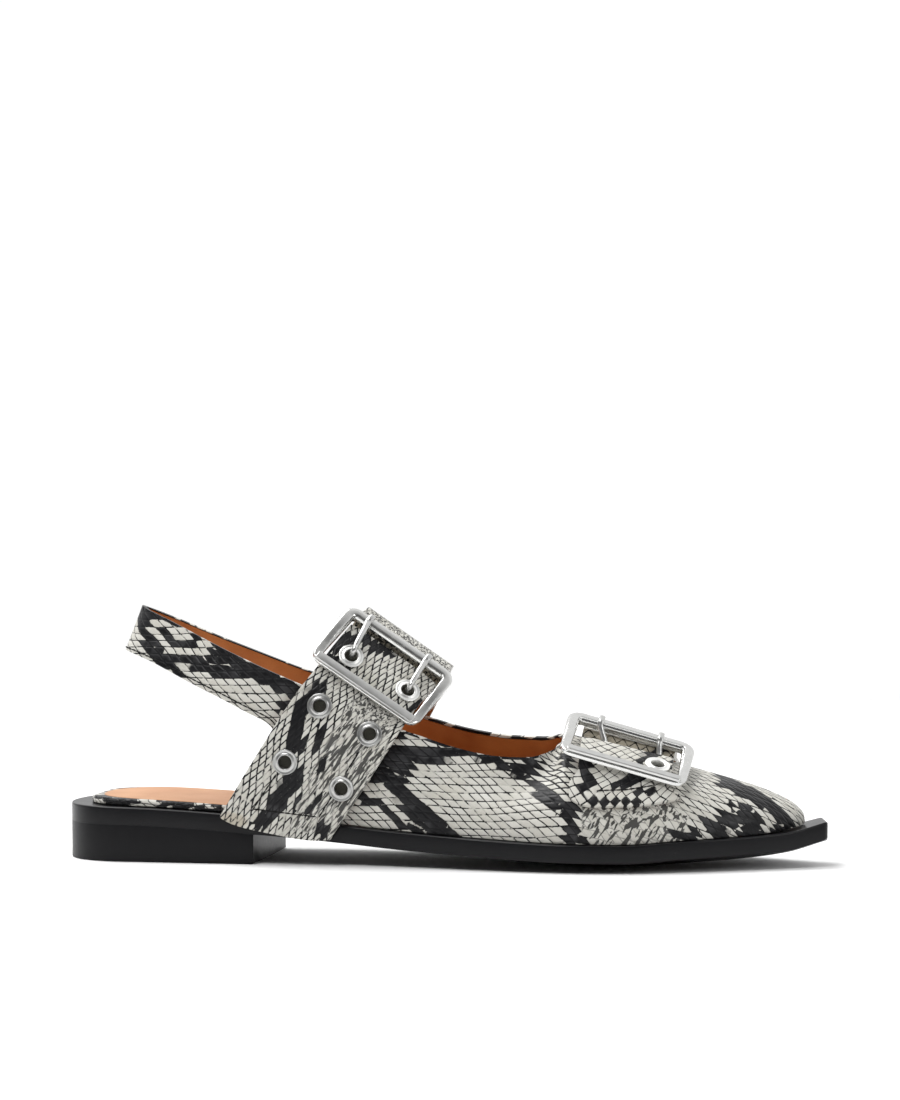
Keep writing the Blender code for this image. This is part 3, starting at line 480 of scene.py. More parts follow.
def upper_wall(rib, v, lateral):
    """Outer face of the upper at a rib and a share v of the way up it, on the lateral or the medial side."""
    v = v[:, None]

    def across(name, middle=0.0):
        outer, inner = rib_column(name + "_lateral", rib), rib_column(name + "_medial", rib)
        return middle + np.where(lateral, -outer, inner)

    foot_s, top_s = rib_column("foot_s", rib), rib_column("top_s", rib)
    lift = rib_column("lift", rib)
    medial_up = np.where(lateral, 0.0, rib_column("medial_up", rib))
    foot_z = sole_top(foot_s) + GAP + lift + medial_up * ease(lift, 10.0, 30.0)
    foot = np.stack([foot_s, across("foot"), foot_z], 1)
    top = np.stack([top_s, across("top", rib_column("ridge", rib)), rib_column("top_z", rib) + medial_up], 1)
    facing = np.radians(rib_column("facing", rib))
    out = np.stack([np.sin(facing), np.where(lateral, -1, 1) * np.cos(facing), 0 * facing], 1)
    chord = top - foot
    run = -np.sum(chord * out, axis=1, keepdims=True)
    climb = chord + run * out
    rise = np.linalg.norm(climb, axis=1, keepdims=True)
    up = climb / rise
    foot_lean = np.radians(rib_column("foot_lean", rib))[:, None]
    top_lean = np.radians(rib_column("top_lean", rib))[:, None]
    foot_handle = foot + KAPPA * rise * (up * np.cos(foot_lean) + out * np.sin(foot_lean))
    reach = KAPPA * (rise * np.cos(top_lean) + run * np.sin(top_lean))
    top_handle = top + reach * (out * np.sin(top_lean) - up * np.cos(top_lean))
    return (
        foot * (1 - v) ** 3
        + 3 * foot_handle * v * (1 - v) ** 2
        + 3 * top_handle * v * v * (1 - v)
        + top * v ** 3
    )


def upper_point(rib, q):
    """The same on the vamp, where q runs from the lateral foot (-1) over the ridge (0) to the medial
    foot (1)."""
    rib, q = np.broadcast_arrays(np.asarray(rib, float), np.asarray(q, float))
    return upper_wall(rib, 1 - np.abs(q), q <= 0)


def upper_normal(rib, q):
    step = 0.01
    rib, q = np.broadcast_arrays(np.asarray(rib, float), np.asarray(q, float))
    along = upper_point(rib + step, q) - upper_point(rib - step, q)
    over = upper_point(rib, np.clip(q + step, -1, 1)) - upper_point(rib, np.clip(q - step, -1, 1))
    return unit(np.cross(over, along))


def upper_offset(rib, q, distance):
    return upper_point(rib, q) + upper_normal(rib, q) * np.asarray(distance, float)[..., None]


def instep_point(t, w, offset=0.0):
    """Inner face of the instep strap moved out by offset. w runs over the width, from the heel side to the
    toe side."""
    t, w = np.broadcast_arrays(np.asarray(t, float), np.asarray(w, float))
    rise = smooth(INSTEP, "t", "rise", t)
    foot, top = np.array(INSTEP_FOOT), np.array(INSTEP_TOP)
    middle = foot + (top - foot) * rise[:, None]
    slope = np.radians(smooth(INSTEP, "t", "slope", t))
    out = (w - 0.5) * smooth(INSTEP, "t", "wide", t)
    across = smooth(INSTEP, "t", "across", t)
    face = np.stack([middle[:, 0] + out * np.cos(slope), across, middle[:, 1] - out * np.sin(slope)], 1)
    if np.isscalar(offset) and offset == 0.0:
        return face
    return face + instep_normal(t, w) * np.broadcast_to(offset, t.shape)[:, None]


def instep_normal(t, w):
    step = 0.004
    along = instep_point(np.minimum(t + step, 1), w) - instep_point(np.maximum(t - step, -0.03), w)
    over = instep_point(t, w + step) - instep_point(t, w - step)
    return unit(np.cross(over, along))


def instep_lift(t):
    return (STRAP_WALL + GAP) * ease(t, INSTEP_LIFT_FROM, INSTEP_LIFT_TO)


def turned_wall(at, span):
    """Thickness of a medial strap, doubled between the second and third place of span."""
    return STRAP_WALL + TURN_EXTRA * ease(at, span[0], span[1]) * (1 - ease(at, span[2], span[3]))


def toe_rib(w, q):
    """Rib under the toe strap at w of its width and q of its length."""
    taper = TOE_TAPER * ease(q, TOE_NEAR_BAR - 0.16, TOE_NEAR_BAR) * (1 - ease(q, 0.25, 0.5))
    return TOE_REAR_RIB + (TOE_FRONT_RIB - TOE_REAR_RIB) * (w + taper * (1 - 2 * np.asarray(w)))


def toe_lift(q):
    return GAP + (2 * PRONG_RADIUS + GAP) * ease(q, TOE_LIFT_FROM, TOE_LIFT_TO)


def buckle_frame_axes(near, far, along):
    """Middle of a buckle and its axes: along the bars, from the near bar to the far bar, and out of the
    strap."""
    second = unit(far - near)
    first = unit(along - second * (along @ second))
    return (near + far) / 2, first, second, np.cross(first, second)


def instep_buckle():
    rest = STRAP_WALL + GAP + BAR_THICKNESS / 2
    near = instep_point([INSTEP_NEAR_BAR], [0.5], rest + INSTEP_BUCKLE_EASE[0])[0]
    far = instep_point([INSTEP_FAR_BAR], [0.5], rest + TURN_EXTRA + INSTEP_BUCKLE_EASE[1])[0]
    middle = (INSTEP_NEAR_BAR + INSTEP_FAR_BAR) / 2
    along = instep_point([middle], [1.0])[0] - instep_point([middle], [0.0])[0]
    return buckle_frame_axes(near, far, along)


def toe_buckle():
    rib = toe_rib(TOE_BUCKLE_MIDDLE, TOE_FAR_BAR)
    rest = STRAP_WALL + GAP + BAR_THICKNESS / 2
    near = upper_offset([rib], [TOE_NEAR_BAR], [toe_lift(TOE_NEAR_BAR) + rest + TOE_BUCKLE_EASE[0]])[0]
    far = upper_offset([rib], [TOE_FAR_BAR], [GAP + rest + TURN_EXTRA + TOE_BUCKLE_EASE[1]])[0]
    front, rear = (upper_point([end], [TOE_FAR_BAR])[0] for end in (TOE_FRONT_RIB, TOE_REAR_RIB))
    along = unit(front - rear) - np.array([0.0, 0.0, math.tan(math.radians(TOE_BUCKLE_DIP))])
    return buckle_frame_axes(near, far, along)


def far_bar_hook(axes, along):
    """Points of a prong's hook, from the outer side of the far bar over its top to its inner side."""
    middle, first, second, third = axes
    reach_b = BAR_WIDTH / 2 + HOOK_GAP + HOOK_RADIUS
    reach_n = BAR_THICKNESS / 2 + HOOK_GAP + HOOK_RADIUS
    base = middle + first * along + second * (BAR_SPACING / 2)
    rows = ((1.0, -0.35), (1.02, 0.35), (0.72, 0.95), (0.0, 1.06), (-0.72, 0.95), (-1.02, 0.35))
    return [base + second * (b * reach_b) + third * (n * reach_n) for b, n in rows]


def instep_eyelet(t, w):
    """Place of an eyelet on the lateral instep strap's outer face, and the direction out of it."""
    step = 0.02

    def outer(i, j):
        at = np.array([t + i * step])
        return instep_point(at, [w + j * step], instep_lift(at) + STRAP_WALL)[0]

    axis = unit(np.cross(outer(0, 1) - outer(0, -1), outer(1, 0) - outer(-1, 0)))
    return outer(0, 0), axis


def instep_eyelets():
    return [instep_eyelet(t, w) for t, w in zip(INSTEP_EYELETS["t"], INSTEP_EYELETS["w"])]


def toe_eyelet(q, w):
    rib = [toe_rib(w, q)]
    return upper_offset(rib, [q], [toe_lift(q) + STRAP_WALL])[0], upper_normal(rib, [q])[0]


# Finishes


class Value:
    """A shader socket whose arithmetic adds Math nodes."""

    def __init__(self, finish, socket):
        self.finish = finish
        self.socket = socket

    def output(self, name):
        return Value(self.finish, self.socket.node.outputs[name])

    def math(self, operation, *others):
        return self.finish.node("Math", {"operation": operation}, dict(enumerate((self, *others))))

    def __add__(self, other):
        return self.math("ADD", other)

    __radd__ = __add__

    def __mul__(self, other):
        return self.math("MULTIPLY", other)

    __rmul__ = __mul__

    def __sub__(self, other):
        return self.math("SUBTRACT", other)

    def __rsub__(self, other):
        return self.finish.node("Math", {"operation": "SUBTRACT"}, {0: other, 1: self})

    def floor(self):
        return self.math("FLOOR")

    def fraction(self):
        return self.math("FRACT")

    def root(self):
        return self.math("SQRT")

    def least(self, other):
        return self.math("MINIMUM", other)

    def most(self, other):
        return self.math("MAXIMUM", other)

    def step(self, low, high):
        """0 where the value is under low, 1 where it is over high, smooth between."""
        sockets = {"Value": self, "From Min": low, "From Max": high}
        return self.finish.node("MapRange", {"interpolation_type": "SMOOTHSTEP"}, sockets)


class Finish:
    """A material and the nodes that give it its look."""

    def __init__(self, name, **constants):
        self.material = bpy.data.materials.new(name)
        self.material.use_nodes = True
        self.tree = self.material.node_tree
        self.shader = self.tree.nodes["Principled BSDF"]
        self.feed(**constants)

    def node(self, kind, settings=None, sockets=None, output=0):
        made = self.tree.nodes.new("ShaderNode" + kind)
        for name, value in (settings or {}).items():
            setattr(made, name, value)
        for name, value in (sockets or {}).items():
            self.put(made.inputs[name], value)
        return Value(self, made.outputs[output])

    def put(self, socket, value):
        if isinstance(value, Value):
            self.tree.links.new(value.socket, socket)
        elif socket.type == "RGBA":
            socket.default_value = (*value, 1.0)
        else:
            socket.default_value = value

    def feed(self, **sockets):
        """Sets or links the shader's own sockets, named with _ for a space."""
        for name, value in sockets.items():
            self.put(self.shader.inputs[name.replace("_", " ")], value)

    def mix(self, factor, first, second):
        return self.node("Mix", {"data_type": "RGBA"}, {0: factor, 6: first, 7: second}, output=2)

    def place(self):
        return self.node("TexCoord", output="Object")

    def noise(self, size, detail=2.0, where=None):
        """Noise with features of that size in millimetres, from 0 to 1."""
        sockets = {"Vector": where or self.place(), "Scale": 1.0 / (size * MM), "Detail": detail}
        return self.node("TexNoise", {"noise_dimensions": "3D"}, sockets)

    def attribute(self, name):
        return self.node("Attribute", {"attribute_name": name}, output="Fac")

    def relief(self, height, depth, strength=1.0):
        """Raises the surface by depth millimetres where height is 1."""
        sockets = {"Height": height, "Distance": depth * MM, "Strength": strength}
        self.feed(Normal=self.node("Bump", None, sockets))


def snake_finish(name, scale_size, line, fleck):
    """Printed leather: pale scales with inked outlines, dark marks from the piece's chart, and a soft gloss.
    line is the breadth of an outline, and fleck that of the streaks where the chart has flecks."""
    skin = Finish(name, Specular_IOR_Level=0.16, Coat_Roughness=0.14, Coat_IOR=1.5)
    scales = skin.node("SeparateXYZ", None, {0: skin.node("UVMap", {"uv_map": "scales"})})
    i, j = scales.output("X"), scales.output("Y")
    cell = skin.node("CombineXYZ", None, {"X": i.floor(), "Y": j.floor()})
    tone = skin.node("TexWhiteNoise", {"noise_dimensions": "2D"}, {"Vector": cell}, output="Value")
    blot = skin.noise(1.4, 3.0)
    grain = skin.noise(0.34, 2.0)

    # Distance in from the outline of a scale, which has slightly rounded corners, in millimetres
    corner = 0.17 * scale_size
    from_i = i.fraction().least(1.0 - i.fraction()) * scale_size
    from_j = j.fraction().least(1.0 - j.fraction()) * scale_size
    short_i = (corner - from_i).most(0.0)
    short_j = (corner - from_j).most(0.0)
    inside = corner - (short_i * short_i + short_j * short_j).root()

    bold = skin.attribute("bold")
    width = line * (0.1 + 1.7 * blot) + bold * 0.13
    outline = 1.0 - (inside - width).step(-0.06, 0.08)
    broken = (skin.noise(2.2, 2.0) + 0.3 * tone).step(0.44, 0.62)
    outline = outline * (0.12 + 0.88 * broken).most(bold)

    # The chart read at the middle of the scale, with some scales taking a little more of it than others
    middle = skin.attribute("dark") + (0.5 - i.fraction()) * skin.attribute("dark_i")
    middle = middle + (0.5 - j.fraction()) * skin.attribute("dark_j")
    marked = (middle + tone - 0.5).step(-0.3, 0.3).most(skin.attribute("check").step(0.4, 0.6))
    # Painted glints: pale specks where the ink of a dark scale is left out along its edges
    edge_glints = skin.noise(0.5, 3.0).step(0.68, 0.74) * (1.0 - inside.step(0.1, 0.5)) * 0.5
    stroke = skin.node(
        "Mapping",
        {"vector_type": "TEXTURE"},
        {"Vector": skin.place(), "Rotation": (0.0, math.radians(36.0), 0.0), "Scale": (1.0, 1.0, 6.0)},
    )
    streak = skin.noise(fleck, 1.0, stroke)
    flecked = skin.attribute("fleck")
    flecks = flecked * (streak + 0.10 * blot).step(0.56, 0.60)
    outline = outline * (1.0 - 0.5 * flecked)
    ink = (marked * (1.0 - edge_glints)).most(outline).most(flecks * 0.9)

    pale = skin.mix(tone, (0.50, 0.487, 0.44), (0.585, 0.575, 0.53))
    pale = skin.mix(grain.step(0.35, 0.75) * 0.30, pale, (0.68, 0.67, 0.635))
    pale = skin.mix(skin.noise(9.0).step(0.45, 0.8) * 0.25, pale, (0.53, 0.50, 0.41))
    # Darker beige: the flesh side at the worn corner of the instep strap, and painted shade on the
    # turned-back ends of the medial straps
    pale = skin.mix(skin.attribute("bare"), pale, (0.40, 0.345, 0.25))
    grey = (tone * 0.8 + 0.2 * grain) * skin.noise(7.0).step(0.44, 0.62)
    black = skin.mix(inside.step(0.04, 0.30) * grey, (0.006, 0.006, 0.007), (0.038, 0.038, 0.040))
    skin.feed(
        Base_Color=skin.mix(ink, pale, black),
        Roughness=0.26 + 0.16 * grain + 0.06 * tone,
        Coat_Weight=0.01 + 0.12 * blot,
    )
    pillow = from_i.least(from_j) * (1.0 / scale_size)
    skin.relief(pillow.step(0.0, 0.30) + 0.16 * grain + 0.12 * blot, 0.20, 0.9)
    return skin.material


def lining_finish(name, low, high, roughness):
    """Smooth vegetable tan leather with a fine grain."""
    hide = Finish(name, Specular_IOR_Level=0.4)
    cloud = hide.noise(16.0, 3.0)
    grain = hide.noise(0.55, 3.0)
    sockets = {"Vector": hide.place(), "Scale": 1400.0}
    pores = hide.node("TexVoronoi", {"feature": "F1"}, sockets, output="Distance")
    colour = hide.mix(cloud.step(0.3, 0.75), low, high)
    colour = hide.mix(grain.step(0.5, 0.8) * 0.22, colour, tuple(0.72 * c for c in low))
    hide.feed(Base_Color=colour, Roughness=roughness + 0.14 * grain)
    hide.relief(0.5 * grain + 0.5 * pores.step(0.0, 0.5), 0.05, 0.6)
    return hide.material


def sole_finish(name, specular, roughness):
    """Black moulded rubber with faint rubbed streaks along the shoe."""
    rubber = Finish(name, Specular_IOR_Level=specular)
    stretch = rubber.node("Mapping", None, {"Vector": rubber.place(), "Scale": (0.10, 1.0, 1.0)})
    streak = rubber.noise(1.2, 3.0, stretch)
    grain = rubber.noise(0.3, 2.0)
    cloud = rubber.noise(14.0)
    rubber.feed(
        Base_Color=rubber.mix(cloud, (0.003, 0.003, 0.004), (0.006, 0.006, 0.007)),
        Roughness=roughness + 0.14 * streak + 0.06 * grain,
    )
    rubber.relief(0.6 * streak + 0.4 * grain, 0.035, 0.6)
    return rubber.material


def nickel_finish(name, shine, low, high):
    """Nickel with faint brushing and handling marks, smoother where shine is higher, in greys from low to
    high."""
    metal = Finish(name, Metallic=1.0)
    smear = metal.noise(3.0, 3.0)
    scratch = metal.node("Mapping", None, {"Vector": metal.place(), "Scale": (1.0, 0.08, 0.3)})
    fine = metal.noise(0.25, 2.0, scratch)
    metal.feed(
        Base_Color=metal.mix(smear, (low, low, 0.98 * low), (high, high, 0.98 * high)),
        Roughness=0.34 - 0.24 * shine + 0.10 * smear.step(0.4, 0.8) + 0.06 * fine,
    )
    metal.relief(fine, 0.002, 0.5)
    return metal.material


def thread_finish():
    thread = Finish("black_thread", Specular_IOR_Level=0.15)
    twist = thread.noise(0.25, 2.0)
    colour = thread.mix(twist, (0.003, 0.003, 0.003), (0.010, 0.010, 0.010))
    thread.feed(Base_Color=colour, Roughness=0.5 + 0.3 * twist)
    thread.relief(twist, 0.06)
    return thread.material


def shade_finish():
    """Painted shade: a dark matte disc across the bottom of each eyelet's hole."""
    hole_shade = Finish("dark_felt", Specular_IOR_Level=0.1)
    fibre = hole_shade.noise(0.3, 3.0)
    colour = hole_shade.mix(fibre, (0.030, 0.029, 0.024), (0.075, 0.072, 0.06))
    hole_shade.feed(Base_Color=colour, Roughness=0.85 + 0.1 * fibre)
    hole_shade.relief(fibre, 0.05)
    return hole_shade.material


def floor_finish():
    paper = Finish("studio_paper", Specular_IOR_Level=0.1)
    fibre = paper.noise(1.5, 3.0)
    colour = paper.mix(fibre, (0.90, 0.90, 0.90), (0.93, 0.93, 0.93))
    paper.feed(Base_Color=colour, Roughness=0.8 + 0.1 * fibre)
    return paper.material


# Modelling

FLIP = np.s_[:, ::-1]     # turns the order of a sheet's columns, so that it faces outward


def deselect():
    bpy.ops.object.select_all(action="DESELECT")


def use(obj):
    deselect()
    obj.select_set(True)
    bpy.context.view_layer.objects.active = obj


def edit(obj, *steps):
    """Runs mesh operators on all of a piece's mesh."""
    use(obj)
    bpy.ops.object.mode_set(mode="EDIT")
    bpy.ops.mesh.select_all(action="SELECT")
    for operator, settings in steps:
        operator(**settings)
    bpy.ops.object.mode_set(mode="OBJECT")


def sheet(name, points, material=None):
    """A grid of quads through points[row, column], faced out where rows cross columns by the right hand."""
    rows, columns = points.shape[:2]
    deselect()
    bpy.ops.mesh.primitive_grid_add(x_subdivisions=columns - 1, y_subdivisions=rows - 1, size=1.0)
    obj = bpy.context.object
    obj.name = name
    obj.data.name = name
    obj.data.uv_layers[0].name = "scales"
    obj.data.vertices.foreach_set("co", world(points).ravel())
    obj.data.update()
    if material:
        obj.data.materials.append(material)
    return obj


def mark(obj, name, values):
    """Keeps a number for each point of a piece."""
    values = np.asarray(values, float).ravel()
    obj.data.attributes.new(name, "FLOAT", "POINT").data.foreach_set("value", values)


def set_scales(obj, scales):
    """Puts scale coordinates, one pair for each point, in the piece's UV map."""
    corners = np.empty(len(obj.data.loops), int)
    obj.data.loops.foreach_get("vertex_index", corners)
    obj.data.uv_layers["scales"].uv.foreach_set("vector", scales.reshape(-1, 2)[corners].ravel())


def merged(obj, distance=0.02):
    edit(obj, (bpy.ops.mesh.remove_doubles, {"threshold": distance * MM}))
    return obj


def closed(obj):
    """Joins a wrapped sheet's edges, closes its ends and turns its faces outward."""
    edit(
        obj,
        (bpy.ops.mesh.remove_doubles, {"threshold": 0.002 * MM}),
        (bpy.ops.mesh.fill_holes, {"sides": 0}),
        (bpy.ops.mesh.select_all, {"action": "SELECT"}),
        (bpy.ops.mesh.normals_make_consistent, {"inside": False}),
    )
    return obj


def applied(obj, kind, **settings):
    """Adds a modifier and applies it."""
    use(obj)
    modifier = obj.modifiers.new(kind.lower(), kind)
    for name, value in settings.items():
        setattr(modifier, name, value)
    bpy.ops.object.modifier_apply(modifier=modifier.name)
    return obj


def smoothed(obj, angle=40.0):
    use(obj)
    bpy.ops.object.shade_smooth_by_angle(angle=math.radians(angle))
    return obj


def joined(name, pieces):
    deselect()
    for piece in pieces:
        piece.select_set(True)
    bpy.context.view_layer.objects.active = pieces[0]
    bpy.ops.object.join()
    pieces[0].name = name
    pieces[0].data.name = name
    return pieces[0]


def placed(obj, slot, *nodes):
    """Hands a finished piece to the shoe."""
    if nodes:
        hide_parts(*nodes)
    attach(obj, "root")
    return obj


def in_order(rows):
    """Ring points in rows, with the first repeated at the end so that the sheet wraps."""
    rows = np.asarray(rows, float)
    return np.concatenate([rows, rows[:, :1]], axis=1)


# Print


def wander(across, up, seed):
    """Slow, seeded straying of the scale rows."""
    dice = np.random.default_rng(seed)
    total = np.zeros(across.shape + (2,))
    for size in (34.0, 21.0, 13.0, 8.0):
        turn = dice.uniform(0, 2 * math.pi, 4)
        wave = 2 * math.pi / size
        one = np.sin(wave * (across * math.cos(turn[0]) + up * math.sin(turn[0])) + turn[1])
        two = np.sin(wave * (across * math.cos(turn[2]) + up * math.sin(turn[2])) + turn[3])
        total += np.stack([one, two], -1) * size / 34.0
    return SCALE_WANDER * total


def scale_places(across, up, steps, seed):
    """Scale coordinates of skin points, counted in scales along the two steps."""
    turn = np.linalg.inv(np.array(steps).T)
    return np.stack([across, up], -1) @ turn.T + wander(across, up, seed)


def stroke_depth(px, width, line):
    """How far inside a brush stroke photo points lie, in pixels. It is under 0 outside the stroke."""
    line = np.array(line)
    away = np.full(len(px), np.inf)
    for one, two in zip(line[:-1], line[1:]):
        along = two - one
        share = np.clip((px - one) @ along / (along @ along), 0, 1)
        away = np.minimum(away, np.linalg.norm(px - one - share[:, None] * along, axis=1))
    return width / 2 - away


def patch_depth(px, corners):
    """The same for a patch."""
    away = -stroke_depth(px, 0.0, corners + corners[:1])
    x, y = px.T
    inside = np.zeros(len(px), bool)
    for (x1, y1), (x2, y2) in zip(corners, corners[1:] + corners[:1]):
        crosses = (y1 > y) != (y2 > y)
        reach = x1 + (y - y1) * (x2 - x1) / (y2 - y1 + 1e-9)
        inside ^= crosses & (x < reach)
    return np.where(inside, away, -away)


def chequered(px, scales, stroke):
    """True on every second scale whose middle lies within a stroke."""
    cell = np.floor(scales.reshape(-1, 2)).astype(int)
    names, index = np.unique(cell, axis=0, return_inverse=True)
    index = index.ravel()
    count = np.bincount(index)
    middle = np.stack([np.bincount(index, px[:, k]) / count for k in (0, 1)], 1)
    hit = (stroke_depth(middle, *stroke) > 0) & (names.sum(axis=1) % 2 == 0)
    return hit[index].reshape(scales.shape[:2])


def picked(scales, share):
    """True on that share of the scales, picked without an order."""
    cell = np.floor(scales)
    return np.mod(np.sin(cell[..., 0] * 12.99 + cell[..., 1] * 78.23) * 43758.5, 1.0) < share


def scale_slopes(values, scales):
    """Slopes of a sheet's values, for one step along each scale coordinate."""
    row, column = np.gradient(scales, axis=0), np.gradient(scales, axis=1)
    by_row, by_column = np.gradient(values)
    turn = row[..., 0] * column[..., 1] - row[..., 1] * column[..., 0]
    turn = np.where(np.abs(turn) < 1e-5, 1e-5, turn)
    along_i = (by_row * column[..., 1] - by_column * row[..., 1]) / turn
    along_j = (by_column * row[..., 0] - by_row * column[..., 0]) / turn
    return np.clip(along_i, -15, 15), np.clip(along_j, -15, 15)


def print_skin(
    obj, points, scales, strokes=(), patches=(), bold=(), flecked=(), checks=None, check=False, bare=0.0
):
    """Lays the print on a sheet: its scale coordinates, and the dark, bold and flecked places of the chart.
    points are where the chart is read, so a side that the camera doesn't see takes the chart of the other
    side. dark comes with its slopes, for the finish to read it at the middle of each scale. checks is a
    stroke in which every second scale is dark, check is true on single dark scales, and the last argument
    is 1 where a darker beige shows: the flesh side where the leather is worn, and painted shade on the
    turned-back ends of the medial straps."""
    px = photo_place(points).reshape(-1, 2)
    shape = scales.shape[:2]
    depths = [np.full(len(px), -30.0)]
    depths += [stroke_depth(px, *stroke) for stroke in strokes]
    depths += [patch_depth(px, corners) for corners in patches]
    dark = np.clip(np.max(depths, axis=0), -12, 12).reshape(shape)
    along_i, along_j = scale_slopes(dark, scales)
    set_scales(obj, scales)
    mark(obj, "dark", dark)
    mark(obj, "dark_i", along_i)
    mark(obj, "dark_j", along_j)
    mark(obj, "check", check | chequered(px, scales, checks) if checks else np.broadcast_to(check, shape))
    mark(obj, "bare", np.broadcast_to(bare, shape))
    for name, places in (("bold", bold), ("fleck", flecked)):
        hits = [ease(patch_depth(px, corners), -1.5, 1.5) for corners in places]
        mark(obj, name, np.max(hits, axis=0) if hits else np.zeros(shape))


def mirrored(points):
    """Points of the medial side seen as if they were on the lateral side."""
    return points * (1, -1, 1)


# Sole, heel and insole

RIM_FINENESS = 1.5        # how much finer the print is on the insole's rim than on the upper


def slab_ring(s, lateral, medial, low, high, skew, middle, corners):
    """Section of a slab across the shoe, with its lower and upper corners rounded, from the lateral lower
    corner round over the top."""
    most = min(lateral / 3, medial / 3, (high - low) / 2.2)
    under, over = (min(corner, most) for corner in corners)
    turn = np.radians(np.linspace(0, 90, 6))
    c, n = np.cos(turn), np.sin(turn)
    rows = []
    rows += [(s, -lateral + under * (1 - a), low + under * (1 - b)) for a, b in zip(n, c)]
    rows += [(s, -lateral + over * (1 - a), high - over * (1 - b)) for a, b in zip(c, n)]
    for share in np.linspace(0, 1, 42)[1:-1]:
        y = -lateral + over + share * (lateral + medial - 2 * over)
        rows.append((s - skew * share, y, high))
    rows += [(s - skew, medial - over * (1 - a), high - over * (1 - b)) for a, b in zip(n, c)]
    rows += [(s - skew, medial - under * (1 - a), low + under * (1 - b)) for a, b in zip(c, n)]
    for share in np.linspace(0, 1, 22)[1:-1]:
        y = medial - under - share * (lateral + medial - 2 * under)
        part = abs(y) / (medial if y > 0 else lateral)
        sink = 1 - float(ease(part, CROWN_FLAT, 1.0))
        rows.append((s - skew * (1 - share), y, low + (middle - low) * sink))
    return rows


def slab_stations(start, end, round_length, step):
    turn = start + round_length * (1 - np.cos(np.linspace(0.05, math.pi / 2, 26)))
    return np.concatenate([turn, np.linspace(turn[-1], end, int((end - turn[-1]) / step))[1:]])


def slab(
    name, material, start, end, step, half, low, high, middle, corners, skewed=False, end_round=0.0, dark=0.0
):
    """A slab through rounded sections, from a rounded back at start to a blunt end. corners gives the lower
    and upper corner radius at s, and dark the share of its printed scales that are dark."""
    rings = []
    places = slab_stations(start, end, HEEL_ROUND, step)
    if end_round:
        last = end - end_round * (1 - np.sin(np.linspace(0, math.pi / 2, 7)))
        places = np.concatenate([places[places < end - end_round - 0.3], last])
    for s in places:
        inset = 0.0
        if end_round and s > end - end_round:
            part = (s - end + end_round) / end_round
            inset = end_round * (1 - math.sqrt(max(0.0, 1 - part * part)))
        skew = TIP_SKEW * float(ease(s, LENGTH - TIP_SKEW_LENGTH, LENGTH)) if skewed else 0.0
        rings.append(
            slab_ring(
                s, float(half("lateral", s)) - inset, float(half("medial", s)) - inset,
                float(low(s)) + inset * 0.6, float(high(s)) - inset * 0.6, skew, float(middle(s)), corners(s),
            )
        )
    rings[0] = [(start, y, z) for _, y, z in rings[0]]
    points = in_order(rings)
    obj = sheet(name, points, material)
    walk = walked(points)
    scales = RIM_FINENESS * scale_places(walk, points[..., 2], UPPER_SCALES, 5)
    print_skin(obj, points, scales, check=picked(scales, dark))
    return smoothed(closed(obj))


def insole_half(side, s):
    return smooth(INSOLE, "s", side, s) * heel_rounding(s, INSOLE_START, HEEL_ROUND)


def insole_low(s):
    return sole_top(s) + GAP


def insole_high(s):
    """Top of the insole, rolled down at its back end."""
    roll = np.clip((s - INSOLE_START) / INSOLE_ROLL, 0, 1)
    return insole_low(s) + INSOLE_THICKNESS * (0.25 + 0.75 * np.sqrt(roll * (2 - roll)))


def sock_half(side, s):
    """Half width of the tan sock, which leaves a printed rim of the insole uncovered."""
    start = INSOLE_START + SOCK_INSET
    return max(0.4, (smooth(INSOLE, "s", side, s) - SOCK_RIM) * heel_rounding(s, start, HEEL_ROUND))


def sock_low(s):
    return insole_high(s) - SOCK_SINK


def outsole_corners(s):
    """Corner radii of the outsole, whose underside is sharp over the heel and softer in front of it."""
    return SEAM_CORNER + 0.5 * float(ease(s, HEEL_LENGTH, HEEL_LENGTH + 5)), 0.7


def make_soles(black, block, tan, snake):
    outsole = slab(
        "outsole_dressed", black, 0.0, LENGTH, 2.0, sole_half, sole_edge, sole_top, sole_under,
        outsole_corners, skewed=True, end_round=1.2,
    )
    placed(outsole, "black_sole", "outsole")
    heel = slab(
        "heel_dressed", block, 0.0, HEEL_LENGTH, 2.5, sole_half, lambda s: 0.0,
        lambda s: sole_under(s) - HEEL_SEAM, lambda s: 0.0, lambda s: (0.35, SEAM_CORNER), end_round=0.5,
    )
    placed(heel, "black_sole", "heel")
    end = INSOLE["s"][-1]
    insole = slab(
        "insole_dressed", snake, INSOLE_START, end, 2.0, insole_half, insole_low, insole_high, insole_low,
        lambda s: (0.4, 1.7), dark=0.6,
    )
    sock = slab(
        "insole_sock", tan, INSOLE_START + SOCK_INSET, end - SOCK_RIM, 2.0, sock_half, sock_low,
        lambda s: insole_high(s) + SOCK_RISE, sock_low, lambda s: (0.05, 0.2),
    )
    placed(joined("insole_dressed", [insole, sock]), "tan_leather", "insole")


# Upper

FOLD_ROWS = (1.9, 1.5, 1.1, 0.95, 0.6, 0.35, 0.2, 0.0)     # distances of the top rows below the top line
BODY_ROWS = 58
VAMP_COLUMNS = 130
QUARTER_COLUMNS = 210
RIM_DARK = 0.55                   # share of the scales along the top line that are dark


def upper_ribs():
    """Ribs spaced evenly along the middle height of the wall, with one at the throat."""
    spans = []
    for low, high, count in ((0, THROAT_RIB, VAMP_COLUMNS), (THROAT_RIB, LAST_RIB, QUARTER_COLUMNS)):
        fine = np.linspace(low, high, 900)
        middle = upper_wall(fine, np.full(fine.shape, 0.5), True)
        walk = walked(middle)
        spans.append(np.interp(np.linspace(0, walk[-1], count), walk, fine))
    return np.concatenate([spans[0], spans[1][1:]])


